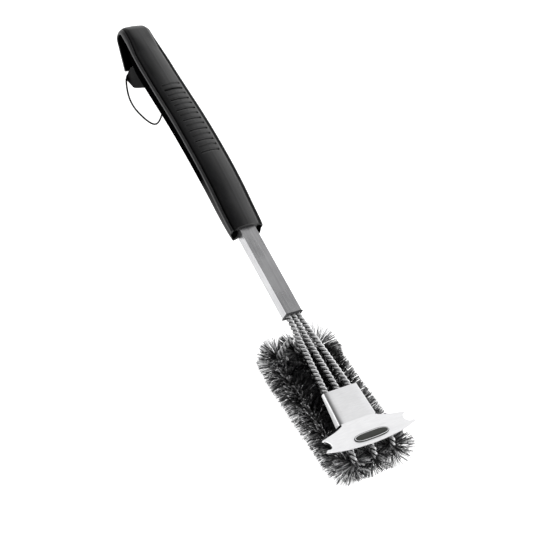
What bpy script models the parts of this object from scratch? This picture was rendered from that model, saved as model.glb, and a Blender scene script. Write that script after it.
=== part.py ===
"""Grill cleaning brush with a three-roll wire head, a scraper blade and a hooked channel handle.

World frame in metres: +X to the right seen from the head, +Y from the head to the handle, +Z up.
The origin is the centre of the flat roof of the bracket that covers the three twisted wires.
"""
import math

import bmesh
import bpy
from mathutils import Vector

MM = 0.001
GAP = 0.3  # mm, clearance between neighbouring pieces

# Bracket and blade, one folded sheet (mm)
ROOF_LENGTH = 29.0
ROOF_REAR_WIDTH = 31.6
ROOF_FRONT_WIDTH = 34.4
SHEET = 0.8
FLANGE_DEPTH = 4.6
FLANGE_BEND = 1.6
BLADE_TILT = math.radians(15.0)
BLADE_THICK = 1.0
BLADE_RELIEF = 1.4
HALF_ROOF = ROOF_LENGTH / 2

# Half outline of the blade, distance out from the fold against half width (mm)
BLADE_REAR_EDGE = ((1.9, 17.4), (4.6, 25.2), (6.7, 34.5), (8.3, 42.6))
BLADE_NOTCH_CENTRE = (13.9, 42.2)
BLADE_NOTCH_R = 4.3
BLADE_NOTCH_START = math.radians(93.0)
BLADE_NOTCH_STOP = math.radians(298.0)
BLADE_NOTCH_STEPS = 9
BLADE_OVERLAP = 0.05
BLADE_TIP = (19.5, 46.8)
BLADE_FRONT_EDGE = ((21.9, 38.0), (23.6, 29.0), (25.0, 14.0), (25.5, 0.0))

BADGE_OUT = 18.2
BADGE_LENGTH = 34.0
BADGE_HEIGHT = 7.2
BADGE_THICK = 0.6
BADGE_STEPS = 28
BADGE_POWERS = (0.7, 0.8)

# Shaft, a rectangular tube that rises gently towards the handle (mm)
SHAFT_TOP = -2.5
SHAFT_RISE = 0.0295
SHAFT_HEIGHT = 8.4
SHAFT_WALL = 0.7
SHAFT_FRONT = 90.3
SHAFT_BACK = 218.0
SHAFT_HALF = 8.0
COLLAR_LENGTH = 1.2
COLLAR_HALF_WIDTH = 8.5
COLLAR_HALF_HEIGHT = 4.7
SLOT_HALF_WIDTH = 7.5
SLOT_HALF_HEIGHT = 2.6

# Twisted wires (mm)
STRAND_R = 1.02
TWIST_R = 1.24
TWIST_PITCH = 8.0
TWIST_STEPS = 8
STRAND_SIDES = 5
ROD_PITCH_MOUTH = 4.9
ROD_PITCH_BRACKET = 12.4
ROD_PITCH_BLADE = 13.8
ROD_BACK_Y = SHAFT_FRONT + 2.5
ROD_MOUTH_Z = -6.3
ROD_BRACKET_Z = -4.4
ROD_FRONT_Y = -20.5
WIRE_R = 2.25
WIRE_SIDES = 8

# Wire cores of the three rolls (mm)
CORE_NAMES = ("left", "middle", "right")
CORE_X = (-21.0, 0.0, 21.5)
CORE_SET_BACK = (0.0, 0.0, 3.5)
BEND_START_Y = -40.5
BEND_TOP_Z = -2.9
BEND_R = 7.0
REAR_BEND = (60.0, -29.5)
BEND_STEPS = 7
BEND_ENTRY = (4.0, 0.4)  # run and drop from the last point before the bend
BEND_ENTRY_SPREAD = 0.95
REAR_ENTRY = (6.0, 0.4)
RISER_X = (-8.9, 0.0, 8.9)
RISER_CURVE = ((0.2, 0.02), (0.375, 0.10), (0.525, 0.24), (0.6875, 0.42))  # shares of the run and the climb
RISER_TOP = (72.4, -11.0)
TIE_BAR = (68.4, -9.0)
TIE_BAR_R = 1.2
TIE_BAR_HALF = 10.0

# Bristle rolls (mm)
ROLL_R = 15.5
ROLL_FRONT = (-43.5, -13.6)
ROLL_REAR = (63.0, -28.5)
ROLL_SPLIT = 10.5
ROLL_TOP = -8.3
ROLL_SIDES = 18
ROLL_END_DEGREES = (82, 60, 40, 20, 0)
ROLL_ROOM_X = 60.0
ROLL_ROOM_Y = (-90.0, 110.0)
ROLL_ROOM_Z = -80.0
BORE_R = 2.9

# Backing plate under the wires (mm)
CLAMP_LENGTH = 26.0
CLAMP_WIDTH = 26.4
CLAMP_THICK = 1.0

# Handle (mm): y, edge height, crown, lip depth, half width
HANDLE_SPAN = (
    (175.5, -1.0, 5.4, 7.6, 16.6),
    (182.0, -0.3, 5.6, 8.4, 17.0),
    (196.0, 1.2, 5.6, 9.4, 17.2),
    (212.0, 3.2, 5.6, 10.2, 17.3),
    (220.0, 3.9, 5.6, 10.5, 17.3),
    (225.0, 4.3, 5.6, 10.7, 17.3),
    (240.0, 5.2, 5.6, 11.1, 17.3),
    (265.0, 5.8, 5.5, 11.4, 17.2),
    (290.0, 5.5, 5.5, 11.6, 17.0),
    (315.0, 4.2, 5.6, 11.7, 16.8),
    (338.0, 3.0, 5.7, 12.0, 16.6),
    (356.0, 2.5, 5.8, 12.0, 16.4),
    (369.0, 2.2, 5.8, 9.4, 15.7),
    (381.0, 1.9, 5.7, 4.4, 14.8),
)
HOOK_CENTRE = (388.9, -4.2)
HOOK_R = 5.9
HOOK_STEPS = 7
HOOK_TURN = math.radians(-153.0)
HOOK_LEG = 28.0
HOOK_CROWN = 4.2
HOOK_LIP = 2.2
HANDLE_END_RAKE = 0.55
RAKE_START = 2.0
SEAT_END = 220.0
SEAT_CLEARANCE = 0.9
SEAT_CORNER = 1.2
SHELL = 3.4
LIP_INSET = 4.2
LIP_THICK = 0.9

# Outside of the handle's half section: in from the side and up, at the lip and the bead; the crown in shares
LIP_CURVE = ((LIP_INSET, 0.0), (1.9, 0.5))
WALL_INSET = (1.0, 0.9)
WALL_TRIM = 2.0
BEAD_CURVE = ((0.0, -1.0), (0.2, 0.3))
CROWN_CURVE = ((0.91, 0.22), (0.66, 0.62), (0.34, 0.9), (0.0, 1.0))

# Hang loop and the two lugs that carry it (mm)
PIVOT_Y = 362.0
PIVOT_Z = -25.0
LUG_CENTRE = (355.0, -16.0)
LUG_R = 9.4
LUG_NOSE_R = 2.9
LUG_SHOULDER = math.radians(28.0)
LUG_HEEL = math.radians(-140.0)
LUG_HEEL_Z = -8.5
LUG_TOP_Y = (337.0, 361.0)
LUG_INNER_X = 10.3
LUG_OUTER_X = 13.3
LUG_TOP_Z = 5.4
PIVOT_HOLE_R = 1.3
PIVOT_DRILL_HALF = 20.0
PIVOT_SIDES = 12
LOOP_WIRE_R = 0.8
LOOP_FOOT_X = 10.9
LOOP_CORNER = ((1.3, 0.0, 0.0), (0.3, -0.4, -0.14), (0.0, -1.4, -0.5))  # in, along and up at the bend
LOOP_SLOPE = math.radians(19.6)
# Half of the loop: distance from the pivot line against half width
LOOP_SHAPE = ((0.0, 14.8), (4.0, 15.7), (11.0, 17.2), (19.0, 17.8), (27.0, 16.2), (34.0, 12.6), (40.0, 8.4),
              (44.3, 4.4), (46.4, 0.0))

# Screws that hold the shaft in the handle (mm)
SCREW_Y = (186.0, 208.0)
SCREW_R = 1.6
SCREW_HOLE_R = 1.95
SCREW_HEAD_R = 3.4
SCREW_HEAD_H = 2.0
SCREW_BITE = 3.1
SCREW_CHAMFER = 0.6
SCREW_FACE = 0.8
DRILL_LOW_Z = -20.0
SCREW_SIDES = 12

PALETTE = {
    "steel_brushed": ((0.46, 0.46, 0.47, 1.0), 0.38, 1.0),
    "steel_bright": ((0.74, 0.74, 0.75, 1.0), 0.22, 1.0),
    "steel_wire": ((0.62, 0.62, 0.63, 1.0), 0.26, 1.0),
    "bristle_steel": ((0.30, 0.30, 0.31, 1.0), 0.42, 1.0),
    "handle_black": ((0.028, 0.028, 0.030, 1.0), 0.55, 0.0),
    "collar_dark": ((0.035, 0.035, 0.038, 1.0), 0.5, 0.0),
    "badge_dark": ((0.045, 0.05, 0.035, 1.0), 0.4, 0.0),
    "screw_zinc": ((0.55, 0.55, 0.56, 1.0), 0.35, 1.0),
}


def clear_scene():
    """Start from an empty file."""
    for obj in list(bpy.data.objects):
        bpy.data.objects.remove(obj, do_unlink=True)


def get_material(name):
    """One Principled material per finish."""
    found = bpy.data.materials.get(name)
    if found:
        return found
    colour, roughness, metallic = PALETTE[name]
    material = bpy.data.materials.new(name)
    material.use_nodes = True
    shader = material.node_tree.nodes["Principled BSDF"]
    shader.inputs["Base Color"].default_value = colour
    shader.inputs["Roughness"].default_value = roughness
    shader.inputs["Metallic"].default_value = metallic
    return material


def add_object(name, verts, faces, material=None):
    """Mesh object from points in millimetres, with its faces turned outwards."""
    mesh = bpy.data.meshes.new(name)
    mesh.from_pydata([Vector(v) * MM for v in verts], [], faces)
    work = bmesh.new()
    work.from_mesh(mesh)
    bmesh.ops.recalc_face_normals(work, faces=work.faces)
    work.to_mesh(mesh)
    work.free()
    obj = bpy.data.objects.new(name, mesh)
    bpy.context.scene.collection.objects.link(obj)
    if material:
        mesh.materials.append(get_material(material))
    return obj


def smooth(obj, degrees=40.0):
    """Smooth shading that keeps hard corners sharp."""
    obj.data.shade_smooth()
    obj.data.set_sharp_from_angle(angle=math.radians(degrees))


def move_origin(obj, point_mm):
    """Put the object's origin on a point without moving its surface."""
    shift = Vector(point_mm) * MM
    for vert in obj.data.vertices:
        vert.co -= shift
    obj.location = shift


def boolean(obj, other, operation):
    """Exact boolean with a hidden helper object."""
    other.hide_render = True
    other.display_type = 'WIRE'
    step = obj.modifiers.new(operation.title() + "_" + other.name, 'BOOLEAN')
    step.operation = operation
    step.solver = 'EXACT'
    step.object = other


def loft(rings):
    """Closed skin through rings of equal length, with flat ends."""
    count = len(rings[0])
    verts = [point for ring in rings for point in ring]
    faces = [tuple(range(count))]
    for i in range(len(rings) - 1):
        for j in range(count):
            k = (j + 1) % count
            faces.append((i * count + j, i * count + k, (i + 1) * count + k, (i + 1) * count + j))
    last = (len(rings) - 1) * count
    faces.append(tuple(last + j for j in range(count)))
    return verts, faces


def sweep(path, radius, sides, phase=0.0):
    """Round bar along a path, with a frame carried from point to point."""
    points = [Vector(p) for p in path]
    tangents = []
    for i, point in enumerate(points):
        ahead = points[min(i + 1, len(points) - 1)]
        behind = points[max(i - 1, 0)]
        tangents.append((ahead - behind).normalized())
    side = tangents[0].orthogonal().normalized()
    rings = []
    for point, tangent in zip(points, tangents):
        side = (side - tangent * side.dot(tangent)).normalized()
        other = tangent.cross(side)
        ring = []
        for k in range(sides):
            turn = phase + 2 * math.pi * k / sides
            ring.append(point + (side * math.cos(turn) + other * math.sin(turn)) * radius)
        rings.append(ring)
    return loft(rings)


def prism(outline, place, thickness):
    """Flat outline given a thickness; place turns (u, v, w) into a point."""
    bottom = [place(u, v, -thickness) for u, v in outline]
    top = [place(u, v, 0.0) for u, v in outline]
    return loft([bottom, top])


def circle(centre, radius, start, stop, steps):
    """Points along an arc, both ends included."""
    points = []
    for i in range(steps + 1):
        turn = start + (stop - start) * i / steps
        points.append((centre[0] + radius * math.cos(turn), centre[1] + radius * math.sin(turn)))
    return points


def mirrored(half):
    """Full outline from its +u half, which runs from the front line to the rear line."""
    left = [(-u, v) for u, v in reversed(half) if u > 0.0]
    return list(half) + left


# ---------------------------------------------------------------- bracket and blade

def channel_section(half_width):
    """Half section of the bracket: roof, rounded bend and flange, outside then inside."""
    bend_x = half_width - FLANGE_BEND
    outer = circle((bend_x, -FLANGE_BEND), FLANGE_BEND, math.radians(90), 0.0, 4)
    inner_r = FLANGE_BEND - SHEET
    inner = circle((bend_x, -FLANGE_BEND), inner_r, 0.0, math.radians(90), 4)
    foot = [(half_width, -FLANGE_DEPTH), (half_width - SHEET, -FLANGE_DEPTH)]
    return outer + foot + inner


def bracket_ring(y, half_width):
    """Whole section of the bracket at one station."""
    half = channel_section(half_width)
    split = len(half) // 2
    outer = half[:split + 1]
    inner = half[split + 1:]
    section = [(-u, v) for u, v in reversed(outer)] + outer
    section += inner + [(-u, v) for u, v in reversed(inner)]
    return [(u, y, v) for u, v in section]


def blade_outline():
    """Blade outline as (half width, distance from the fold), rear to front, then mirrored."""
    rear = [(w, d) for d, w in BLADE_REAR_EDGE]
    centre = (BLADE_NOTCH_CENTRE[1], BLADE_NOTCH_CENTRE[0])
    arc = circle(centre, BLADE_NOTCH_R, BLADE_NOTCH_START, BLADE_NOTCH_STOP, BLADE_NOTCH_STEPS)
    notch = [(x, 2 * centre[1] - y) for x, y in arc]
    front = [(w, d) for d, w in BLADE_FRONT_EDGE]
    neck = ROOF_FRONT_WIDTH / 2 - FLANGE_BEND
    half = [(neck, -BLADE_OVERLAP), (neck, BLADE_RELIEF)]
    half += rear + notch + [(BLADE_TIP[1], BLADE_TIP[0])] + front
    return mirrored(half)


def place_on_blade(u, v, w):
    """Point on the tilted blade: u across, v out from the fold, w above its top face."""
    y = -HALF_ROOF - v * math.cos(BLADE_TILT) + w * math.sin(BLADE_TILT)
    z = v * math.sin(BLADE_TILT) + w * math.cos(BLADE_TILT)
    return (u, y, z)


def make_scraper_bracket():
    """Folded sheet: channel over the wires and the wide notched blade in front of it."""
    rings = [bracket_ring(HALF_ROOF, ROOF_REAR_WIDTH / 2), bracket_ring(-HALF_ROOF, ROOF_FRONT_WIDTH / 2)]
    verts, faces = loft(rings)
    bracket = add_object("scraper_bracket", verts, faces, "steel_bright")
    verts, faces = prism(blade_outline(), place_on_blade, BLADE_THICK)
    blade = add_object("blade_form", verts, faces)
    boolean(bracket, blade, 'UNION')
    smooth(bracket, 30)


def make_badge():
    """Plain rounded plate on the front of the blade."""
    half_l = BADGE_LENGTH / 2
    half_h = BADGE_HEIGHT / 2
    outline = []
    for i in range(BADGE_STEPS):
        turn = 2 * math.pi * i / BADGE_STEPS
        u = half_l * math.copysign(abs(math.cos(turn)) ** BADGE_POWERS[0], math.cos(turn))
        v = half_h * math.copysign(abs(math.sin(turn)) ** BADGE_POWERS[1], math.sin(turn))
        outline.append((u, BADGE_OUT + v))

    def place(u, v, w):
        return place_on_blade(u, v, w + GAP + BADGE_THICK)

    verts, faces = prism(outline, place, BADGE_THICK)
    add_object("badge_plate", verts, faces, "badge_dark")


def make_clamp_plate():
    """Backing plate under the wires, below the bracket."""
    half_w = CLAMP_WIDTH / 2
    half_l = CLAMP_LENGTH / 2
    top = rod_height(0.0) - WIRE_R - GAP
    outline = [(-half_w, -half_l), (half_w, -half_l), (half_w, half_l), (-half_w, half_l)]
    slope = (ROD_MOUTH_Z - ROD_BRACKET_Z) / (SHAFT_FRONT - HALF_ROOF)

    def place(u, v, w):
        return (u, v, top + w + slope * v)

    verts, faces = prism(outline, place, CLAMP_THICK)
    add_object("clamp_plate", verts, faces, "steel_brushed")


# ---------------------------------------------------------------- shaft

def box_ring(y, half_width, top, bottom):
    """Rectangular ring of a tube at one station."""
    return [(-half_width, y, bottom), (half_width, y, bottom), (half_width, y, top), (-half_width, y, top)]


def tube_skin(outer, inner):
    """Open-ended rectangular tube from matching outer and inner rings."""
    rings = outer + inner[::-1]
    count = len(rings[0])
    verts = [point for ring in rings for point in ring]
    faces = []
    for i in range(len(rings)):
        n = (i + 1) % len(rings)
        for j in range(count):
            k = (j + 1) % count
            faces.append((i * count + j, i * count + k, n * count + k, n * count + j))
    return verts, faces


def shaft_top(y):
    """Height of the shaft's top face."""
    return SHAFT_TOP + SHAFT_RISE * (y - SHAFT_FRONT)


def screw_top(y):
    """Height that a handle screw reaches above the shaft."""
    return shaft_top(y) + SCREW_BITE


def make_shaft():
    """Rectangular tube, with clearance holes for the handle screws."""
    outer = []
    inner = []
    for y in (SHAFT_FRONT, SHAFT_BACK):
        top = shaft_top(y)
        bottom = top - SHAFT_HEIGHT
        outer.append(box_ring(y, SHAFT_HALF, top, bottom))
        inner.append(box_ring(y, SHAFT_HALF - SHAFT_WALL, top - SHAFT_WALL, bottom + SHAFT_WALL))
    verts, faces = tube_skin(outer, inner)
    shaft = add_object("shaft_tube", verts, faces, "steel_brushed")
    for index, y in enumerate(SCREW_Y):
        drill = screw_column("shaft_drill_%d" % index, y, SCREW_HOLE_R, DRILL_LOW_Z, screw_top(y) + GAP)
        boolean(shaft, drill, 'DIFFERENCE')
    smooth(shaft, 30)


def make_collar():
    """Dark collar at the mouth of the shaft; the wires pass through its slot."""
    centre = SHAFT_TOP - SHAFT_HEIGHT / 2
    back = SHAFT_FRONT - GAP
    stations = (back - COLLAR_LENGTH, back)
    high = centre + COLLAR_HALF_HEIGHT
    low = centre - COLLAR_HALF_HEIGHT
    outer = [box_ring(y, COLLAR_HALF_WIDTH, high, low) for y in stations]
    slot_high = ROD_MOUTH_Z + SLOT_HALF_HEIGHT
    slot_low = ROD_MOUTH_Z - SLOT_HALF_HEIGHT
    inner = [box_ring(y, SLOT_HALF_WIDTH, slot_high, slot_low) for y in stations]
    verts, faces = tube_skin(outer, inner)
    add_object("shaft_collar", verts, faces, "collar_dark")


# ---------------------------------------------------------------- twisted wires

def rod_height(y):
    """Height of the wires' common plane; they climb a little towards the head."""
    slope = (ROD_BRACKET_Z - ROD_MOUTH_Z) / (SHAFT_FRONT - HALF_ROOF)
    return ROD_MOUTH_Z + slope * (SHAFT_FRONT - y)


def rod_offset(y):
    """Sideways distance between neighbouring wires, fanning out towards the head."""
    if y > HALF_ROOF:
        slope = (ROD_PITCH_BRACKET - ROD_PITCH_MOUTH) / (SHAFT_FRONT - HALF_ROOF)
        return ROD_PITCH_MOUTH + slope * (SHAFT_FRONT - y)
    slope = (ROD_PITCH_BLADE - ROD_PITCH_BRACKET) / ROOF_LENGTH
    return ROD_PITCH_BRACKET + slope * (HALF_ROOF - y)


def rod_point(side, y):
    """Point on the axis of one twisted wire; side is -1, 0 or 1."""
    return Vector((side * rod_offset(y), y, rod_height(y)))


def strand_path(side, phase):
    """Helix of one strand around the axis of its wire."""
    length = ROD_BACK_Y - ROD_FRONT_Y
    steps = round(length / TWIST_PITCH * TWIST_STEPS)
    path = []
    for i in range(steps + 1):
        turn = phase - 2 * math.pi * i / TWIST_STEPS
        offset = Vector((math.cos(turn), 0.0, math.sin(turn))) * TWIST_R
        path.append(rod_point(side, ROD_BACK_Y - length * i / steps) + offset)
    return path


def make_rods():
    """Three twisted pairs between the shaft and the blade, one node per strand."""
    for side, name in zip((-1, 0, 1), CORE_NAMES):
        for letter, phase in (("a", 0.0), ("b", math.pi)):
            verts, faces = sweep(strand_path(side, phase), STRAND_R, STRAND_SIDES)
            smooth(add_object("rod_%s_%s" % (name, letter), verts, faces, "steel_wire"), 60)


def core_path(index):
    """Axis of one roll's core: front bend, long run under the head and rising rear end."""
    x = CORE_X[index]
    back = CORE_SET_BACK[index]
    side = index - 1
    start_y = ROD_FRONT_Y - GAP - STRAND_R
    bend_y = BEND_START_Y + back
    path = [rod_point(side, start_y)]
    bend_z = BEND_TOP_Z - BEND_R
    path.append((x * BEND_ENTRY_SPREAD, bend_y + BEND_ENTRY[0], BEND_TOP_Z - BEND_ENTRY[1]))
    for i in range(BEND_STEPS + 1):
        turn = math.radians(90 + 180 * i / BEND_STEPS)
        path.append((x, bend_y + BEND_R * math.cos(turn), bend_z + BEND_R * math.sin(turn)))
    rear_y, rear_z = REAR_BEND
    path.append((x, rear_y - REAR_ENTRY[0], rear_z + REAR_ENTRY[1]))
    path.append((x, rear_y, rear_z))
    riser_x = RISER_X[index]
    top_y, top_z = RISER_TOP
    for run, climb in RISER_CURVE:
        y = rear_y + (top_y - rear_y) * run
        z = rear_z + (top_z - rear_z) * climb
        path.append((x + (riser_x - x) * climb, y, z))
    path.append((riser_x, top_y, top_z))
    return path


def make_cores():
    """Cores of the rolls; each is the run-on of its twisted wire."""
    for index, name in enumerate(CORE_NAMES):
        verts, faces = sweep(core_path(index), WIRE_R, WIRE_SIDES)
        smooth(add_object("core_" + name, verts, faces, "steel_wire"), 60)


def make_tie_bar():
    """Short wire across the underside of the three rods where the cores come up."""
    y, z = TIE_BAR
    verts, faces = sweep([(-TIE_BAR_HALF, y, z), (TIE_BAR_HALF, y, z)], TIE_BAR_R, 10)
    smooth(add_object("tie_bar", verts, faces, "steel_wire"), 60)


# ---------------------------------------------------------------- bristle rolls

def roll_form(index):
    """Round-ended roll around a core."""
    x = CORE_X[index]
    front = Vector((x, ROLL_FRONT[0] + CORE_SET_BACK[index], ROLL_FRONT[1]))
    rear = Vector((x, ROLL_REAR[0], ROLL_REAR[1]))
    along = (rear - front).normalized()
    across = Vector((1, 0, 0))
    upward = across.cross(along)
    rings = []
    stations = [(front, -t) for t in ROLL_END_DEGREES] + [(rear, t) for t in reversed(ROLL_END_DEGREES)]
    for centre, degrees in stations:
        turn = math.radians(degrees)
        point = centre + along * (ROLL_R * math.sin(turn))
        radius = ROLL_R * math.cos(turn)
        ring = []
        for k in range(ROLL_SIDES):
            a = 2 * math.pi * (k + 0.5) / ROLL_SIDES
            ring.append(point + (across * math.cos(a) + upward * math.sin(a)) * radius)
        rings.append(ring)
    return loft(rings)


def roll_space(index):
    """Box that limits a roll at its neighbours and under the bracket."""
    walls = (-ROLL_ROOM_X, -ROLL_SPLIT, ROLL_SPLIT, ROLL_ROOM_X)
    low = walls[index] + GAP / 2
    high = walls[index + 1] - GAP / 2
    rings = [box_ring(y, 1.0, ROLL_TOP, ROLL_ROOM_Z) for y in ROLL_ROOM_Y]
    moved = [[((low + high) / 2 + u * (high - low) / 2, y, z) for u, y, z in ring] for ring in rings]
    verts, faces = loft(moved)
    return add_object("roll_space_%d" % index, verts, faces)


def make_rolls():
    """Solid stand-ins for the three bristle rolls, each hollow around its core."""
    for index, name in enumerate(CORE_NAMES):
        verts, faces = roll_form(index)
        roll = add_object("bristles_" + name, verts, faces, "bristle_steel")
        boolean(roll, roll_space(index), 'INTERSECT')
        verts, faces = sweep(core_path(index), BORE_R, WIRE_SIDES)
        boolean(roll, add_object("roll_bore_" + name, verts, faces), 'DIFFERENCE')
        smooth(roll, 35)


# ---------------------------------------------------------------- handle

def handle_section(edge, crown, lip, half, seat_top, seat_half):
    """Half section from the inner lip round the outside to the crown, then the inside, as (x, v)."""
    low = edge - lip
    outer = [(half - x, low + v) for x, v in LIP_CURVE]
    outer.append((half - WALL_INSET[0], low + min(WALL_TRIM, lip * 0.4)))
    outer.append((half - WALL_INSET[1], edge - min(WALL_TRIM, lip * 0.5)))
    outer += [(half - x, edge + v) for x, v in BEAD_CURVE]
    outer += [(half * x, edge + crown * v) for x, v in CROWN_CURVE]
    inner = [(0.0, seat_top), (seat_half - SEAT_CORNER, seat_top)]
    inner += [(seat_half, seat_top - SEAT_CORNER), (seat_half, low + LIP_THICK)]
    return outer, inner


def place_section(outer, inner, to_world):
    """Closed ring of the section: over the outside to the left foot, back along the inside."""
    outside = outer + [(-x, v) for x, v in reversed(outer) if x > 0]
    inside = [(-x, v) for x, v in reversed(inner) if x > 0] + inner
    return [to_world(x, v) for x, v in outside + inside]


def span_rings():
    """Stations along the arched length of the handle."""
    rings = []
    for y, edge, crown, lip, half in HANDLE_SPAN:
        seated = y <= SEAT_END
        seat_top = shaft_top(y) + GAP if seated else edge + crown - SHELL
        seat_half = SHAFT_HALF + SEAT_CLEARANCE if seated else half - LIP_INSET
        outer, inner = handle_section(edge, crown, lip, half, seat_top, seat_half)
        rake = HANDLE_END_RAKE if y == HANDLE_SPAN[0][0] else 0.0

        def to_world(x, v, y=y, edge=edge, rake=rake):
            return (x, y - rake * max(0.0, edge + RAKE_START - v), v)

        rings.append(place_section(outer, inner, to_world))
    return rings


def hook_rings():
    """Stations round the hooked end and back along its short lower leg."""
    frames = []
    for i in range(HOOK_STEPS):
        turn = HOOK_TURN * (i + 1) / HOOK_STEPS
        y = HOOK_CENTRE[0] - HOOK_R * math.sin(turn)
        z = HOOK_CENTRE[1] + HOOK_R * math.cos(turn)
        frames.append((y, z, turn))
    y, z, turn = frames[-1]
    frames.append((y + HOOK_LEG * math.cos(turn), z + HOOK_LEG * math.sin(turn), turn))
    rings = []
    for i, (y, z, turn) in enumerate(frames):
        share = min(1.0, (i + 1) / 4)
        crown = HANDLE_SPAN[-1][2] + (HOOK_CROWN - HANDLE_SPAN[-1][2]) * share
        half = HANDLE_SPAN[-1][4] - 0.5 * share
        lip = HOOK_LIP + (1.0 - share) * 0.8
        outer, inner = handle_section(0.0, crown, lip, half, crown - SHELL, half - LIP_INSET)

        def to_world(x, v, y=y, z=z, turn=turn):
            return (x, y - v * math.sin(turn), z + v * math.cos(turn))

        rings.append(place_section(outer, inner, to_world))
    return rings


def lug_outline():
    """Side view of a lug: a round body with a smaller nose around the loop's foot."""
    body = Vector(LUG_CENTRE)
    nose = Vector((PIVOT_Y, PIVOT_Z))
    lean = math.atan2(nose.y - body.y, nose.x - body.x)
    spread = math.acos((LUG_R - LUG_NOSE_R) / (nose - body).length)
    points = circle(nose, LUG_NOSE_R, lean - spread, lean + spread, 5)
    points += circle(body, LUG_R, lean + spread, LUG_SHOULDER, 2)
    points += [(LUG_TOP_Y[1], LUG_TOP_Z), (LUG_TOP_Y[0], LUG_TOP_Z), (LUG_TOP_Y[0], LUG_HEEL_Z)]
    points += circle(body, LUG_R, LUG_HEEL, lean - spread, 3)[:-1]
    return points


def make_lug_form(name, side):
    """One lug, a plate beside the channel."""
    outline = lug_outline()
    rings = [[(side * x, y, z) for y, z in outline] for x in (LUG_INNER_X, LUG_OUTER_X)]
    verts, faces = loft(rings)
    return add_object(name, verts, faces)


def make_handle():
    """Moulded channel handle with hooked end, loop lugs, pivot bore and screw holes."""
    verts, faces = loft(span_rings() + hook_rings())
    handle = add_object("handle_shell", verts, faces, "handle_black")
    boolean(handle, make_lug_form("lug_left_form", -1), 'UNION')
    boolean(handle, make_lug_form("lug_right_form", 1), 'UNION')
    line = [(x, PIVOT_Y, PIVOT_Z) for x in (-PIVOT_DRILL_HALF, PIVOT_DRILL_HALF)]
    verts, faces = sweep(line, PIVOT_HOLE_R, PIVOT_SIDES)
    boolean(handle, add_object("pivot_drill", verts, faces), 'DIFFERENCE')
    for index, y in enumerate(SCREW_Y):
        drill = screw_column("handle_drill_%d" % index, y, SCREW_HOLE_R, DRILL_LOW_Z, screw_top(y) + GAP)
        boolean(handle, drill, 'DIFFERENCE')
    smooth(handle, 35)


def make_hang_loop():
    """Sprung wire loop whose inturned feet sit in the lugs; it swings on the pivot line."""
    half = []
    for reach, width in LOOP_SHAPE:
        y = PIVOT_Y - reach * math.cos(LOOP_SLOPE)
        z = PIVOT_Z - reach * math.sin(LOOP_SLOPE)
        half.append((width, y, z))
    right = [(LOOP_FOOT_X, PIVOT_Y, PIVOT_Z)]
    right += [(half[0][0] - x, PIVOT_Y + y, PIVOT_Z + z) for x, y, z in LOOP_CORNER]
    right += half[1:]
    left = [(-x, y, z) for x, y, z in reversed(right[:-1])]
    verts, faces = sweep(right + left, LOOP_WIRE_R, 8)
    loop = add_object("hang_loop", verts, faces, "steel_wire")
    move_origin(loop, (0.0, PIVOT_Y, PIVOT_Z))
    smooth(loop, 60)


# ---------------------------------------------------------------- screws

def column_ring(y, radius, z):
    """Level ring of an upright round column."""
    ring = []
    for k in range(SCREW_SIDES):
        turn = 2 * math.pi * k / SCREW_SIDES
        ring.append((radius * math.cos(turn), y + radius * math.sin(turn), z))
    return ring


def screw_column(name, y, radius, low, high):
    """Upright column used as a drill."""
    verts, faces = loft([column_ring(y, radius, z) for z in (low, high)])
    return add_object(name, verts, faces)


def make_screws():
    """Two screws from below, through the shaft into the handle."""
    for index, y in enumerate(SCREW_Y):
        seat = shaft_top(y - SCREW_HEAD_R) - SHAFT_HEIGHT - GAP
        low = seat - SCREW_HEAD_H
        rings = [column_ring(y, SCREW_HEAD_R * SCREW_FACE, low)]
        rings += [column_ring(y, SCREW_HEAD_R, z) for z in (low + SCREW_CHAMFER, seat)]
        rings += [column_ring(y, SCREW_R, z) for z in (seat, screw_top(y))]
        verts, faces = loft(rings)
        smooth(add_object("handle_screw_%s" % ("front", "rear")[index], verts, faces, "screw_zinc"), 30)


def main():
    """Build every piece."""
    clear_scene()
    make_scraper_bracket()
    make_badge()
    make_clamp_plate()
    make_shaft()
    make_collar()
    make_rods()
    make_cores()
    make_tie_bar()
    make_rolls()
    make_handle()
    make_hang_loop()
    make_screws()


main()
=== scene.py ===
import math

import bpy
import numpy as np
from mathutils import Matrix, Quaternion, Vector


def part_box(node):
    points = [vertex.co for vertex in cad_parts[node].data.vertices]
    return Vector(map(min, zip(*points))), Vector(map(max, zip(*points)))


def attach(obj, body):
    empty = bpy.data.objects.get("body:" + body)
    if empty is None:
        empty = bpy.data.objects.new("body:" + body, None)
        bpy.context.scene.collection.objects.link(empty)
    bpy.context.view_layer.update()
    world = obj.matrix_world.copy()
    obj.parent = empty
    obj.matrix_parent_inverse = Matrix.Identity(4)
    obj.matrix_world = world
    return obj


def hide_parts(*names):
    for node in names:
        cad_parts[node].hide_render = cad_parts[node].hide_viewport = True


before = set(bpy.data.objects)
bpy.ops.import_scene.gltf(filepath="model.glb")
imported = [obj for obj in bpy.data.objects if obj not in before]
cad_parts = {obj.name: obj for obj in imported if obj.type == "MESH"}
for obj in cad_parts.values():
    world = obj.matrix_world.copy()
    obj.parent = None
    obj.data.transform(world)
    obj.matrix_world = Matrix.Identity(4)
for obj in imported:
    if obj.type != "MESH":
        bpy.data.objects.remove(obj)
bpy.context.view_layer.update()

MM = 0.001  # every length below is in millimetres unless it says metres
MIRROR = np.array((-1.0, 1.0))

# General
NEARLY_PARALLEL = 0.1  # below this length a cross direction is not to be trusted
END_TAPER = 0.7        # radius at the chamfered end of a bar, as a share
WELD_REACH = 0.00001   # metres

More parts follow.
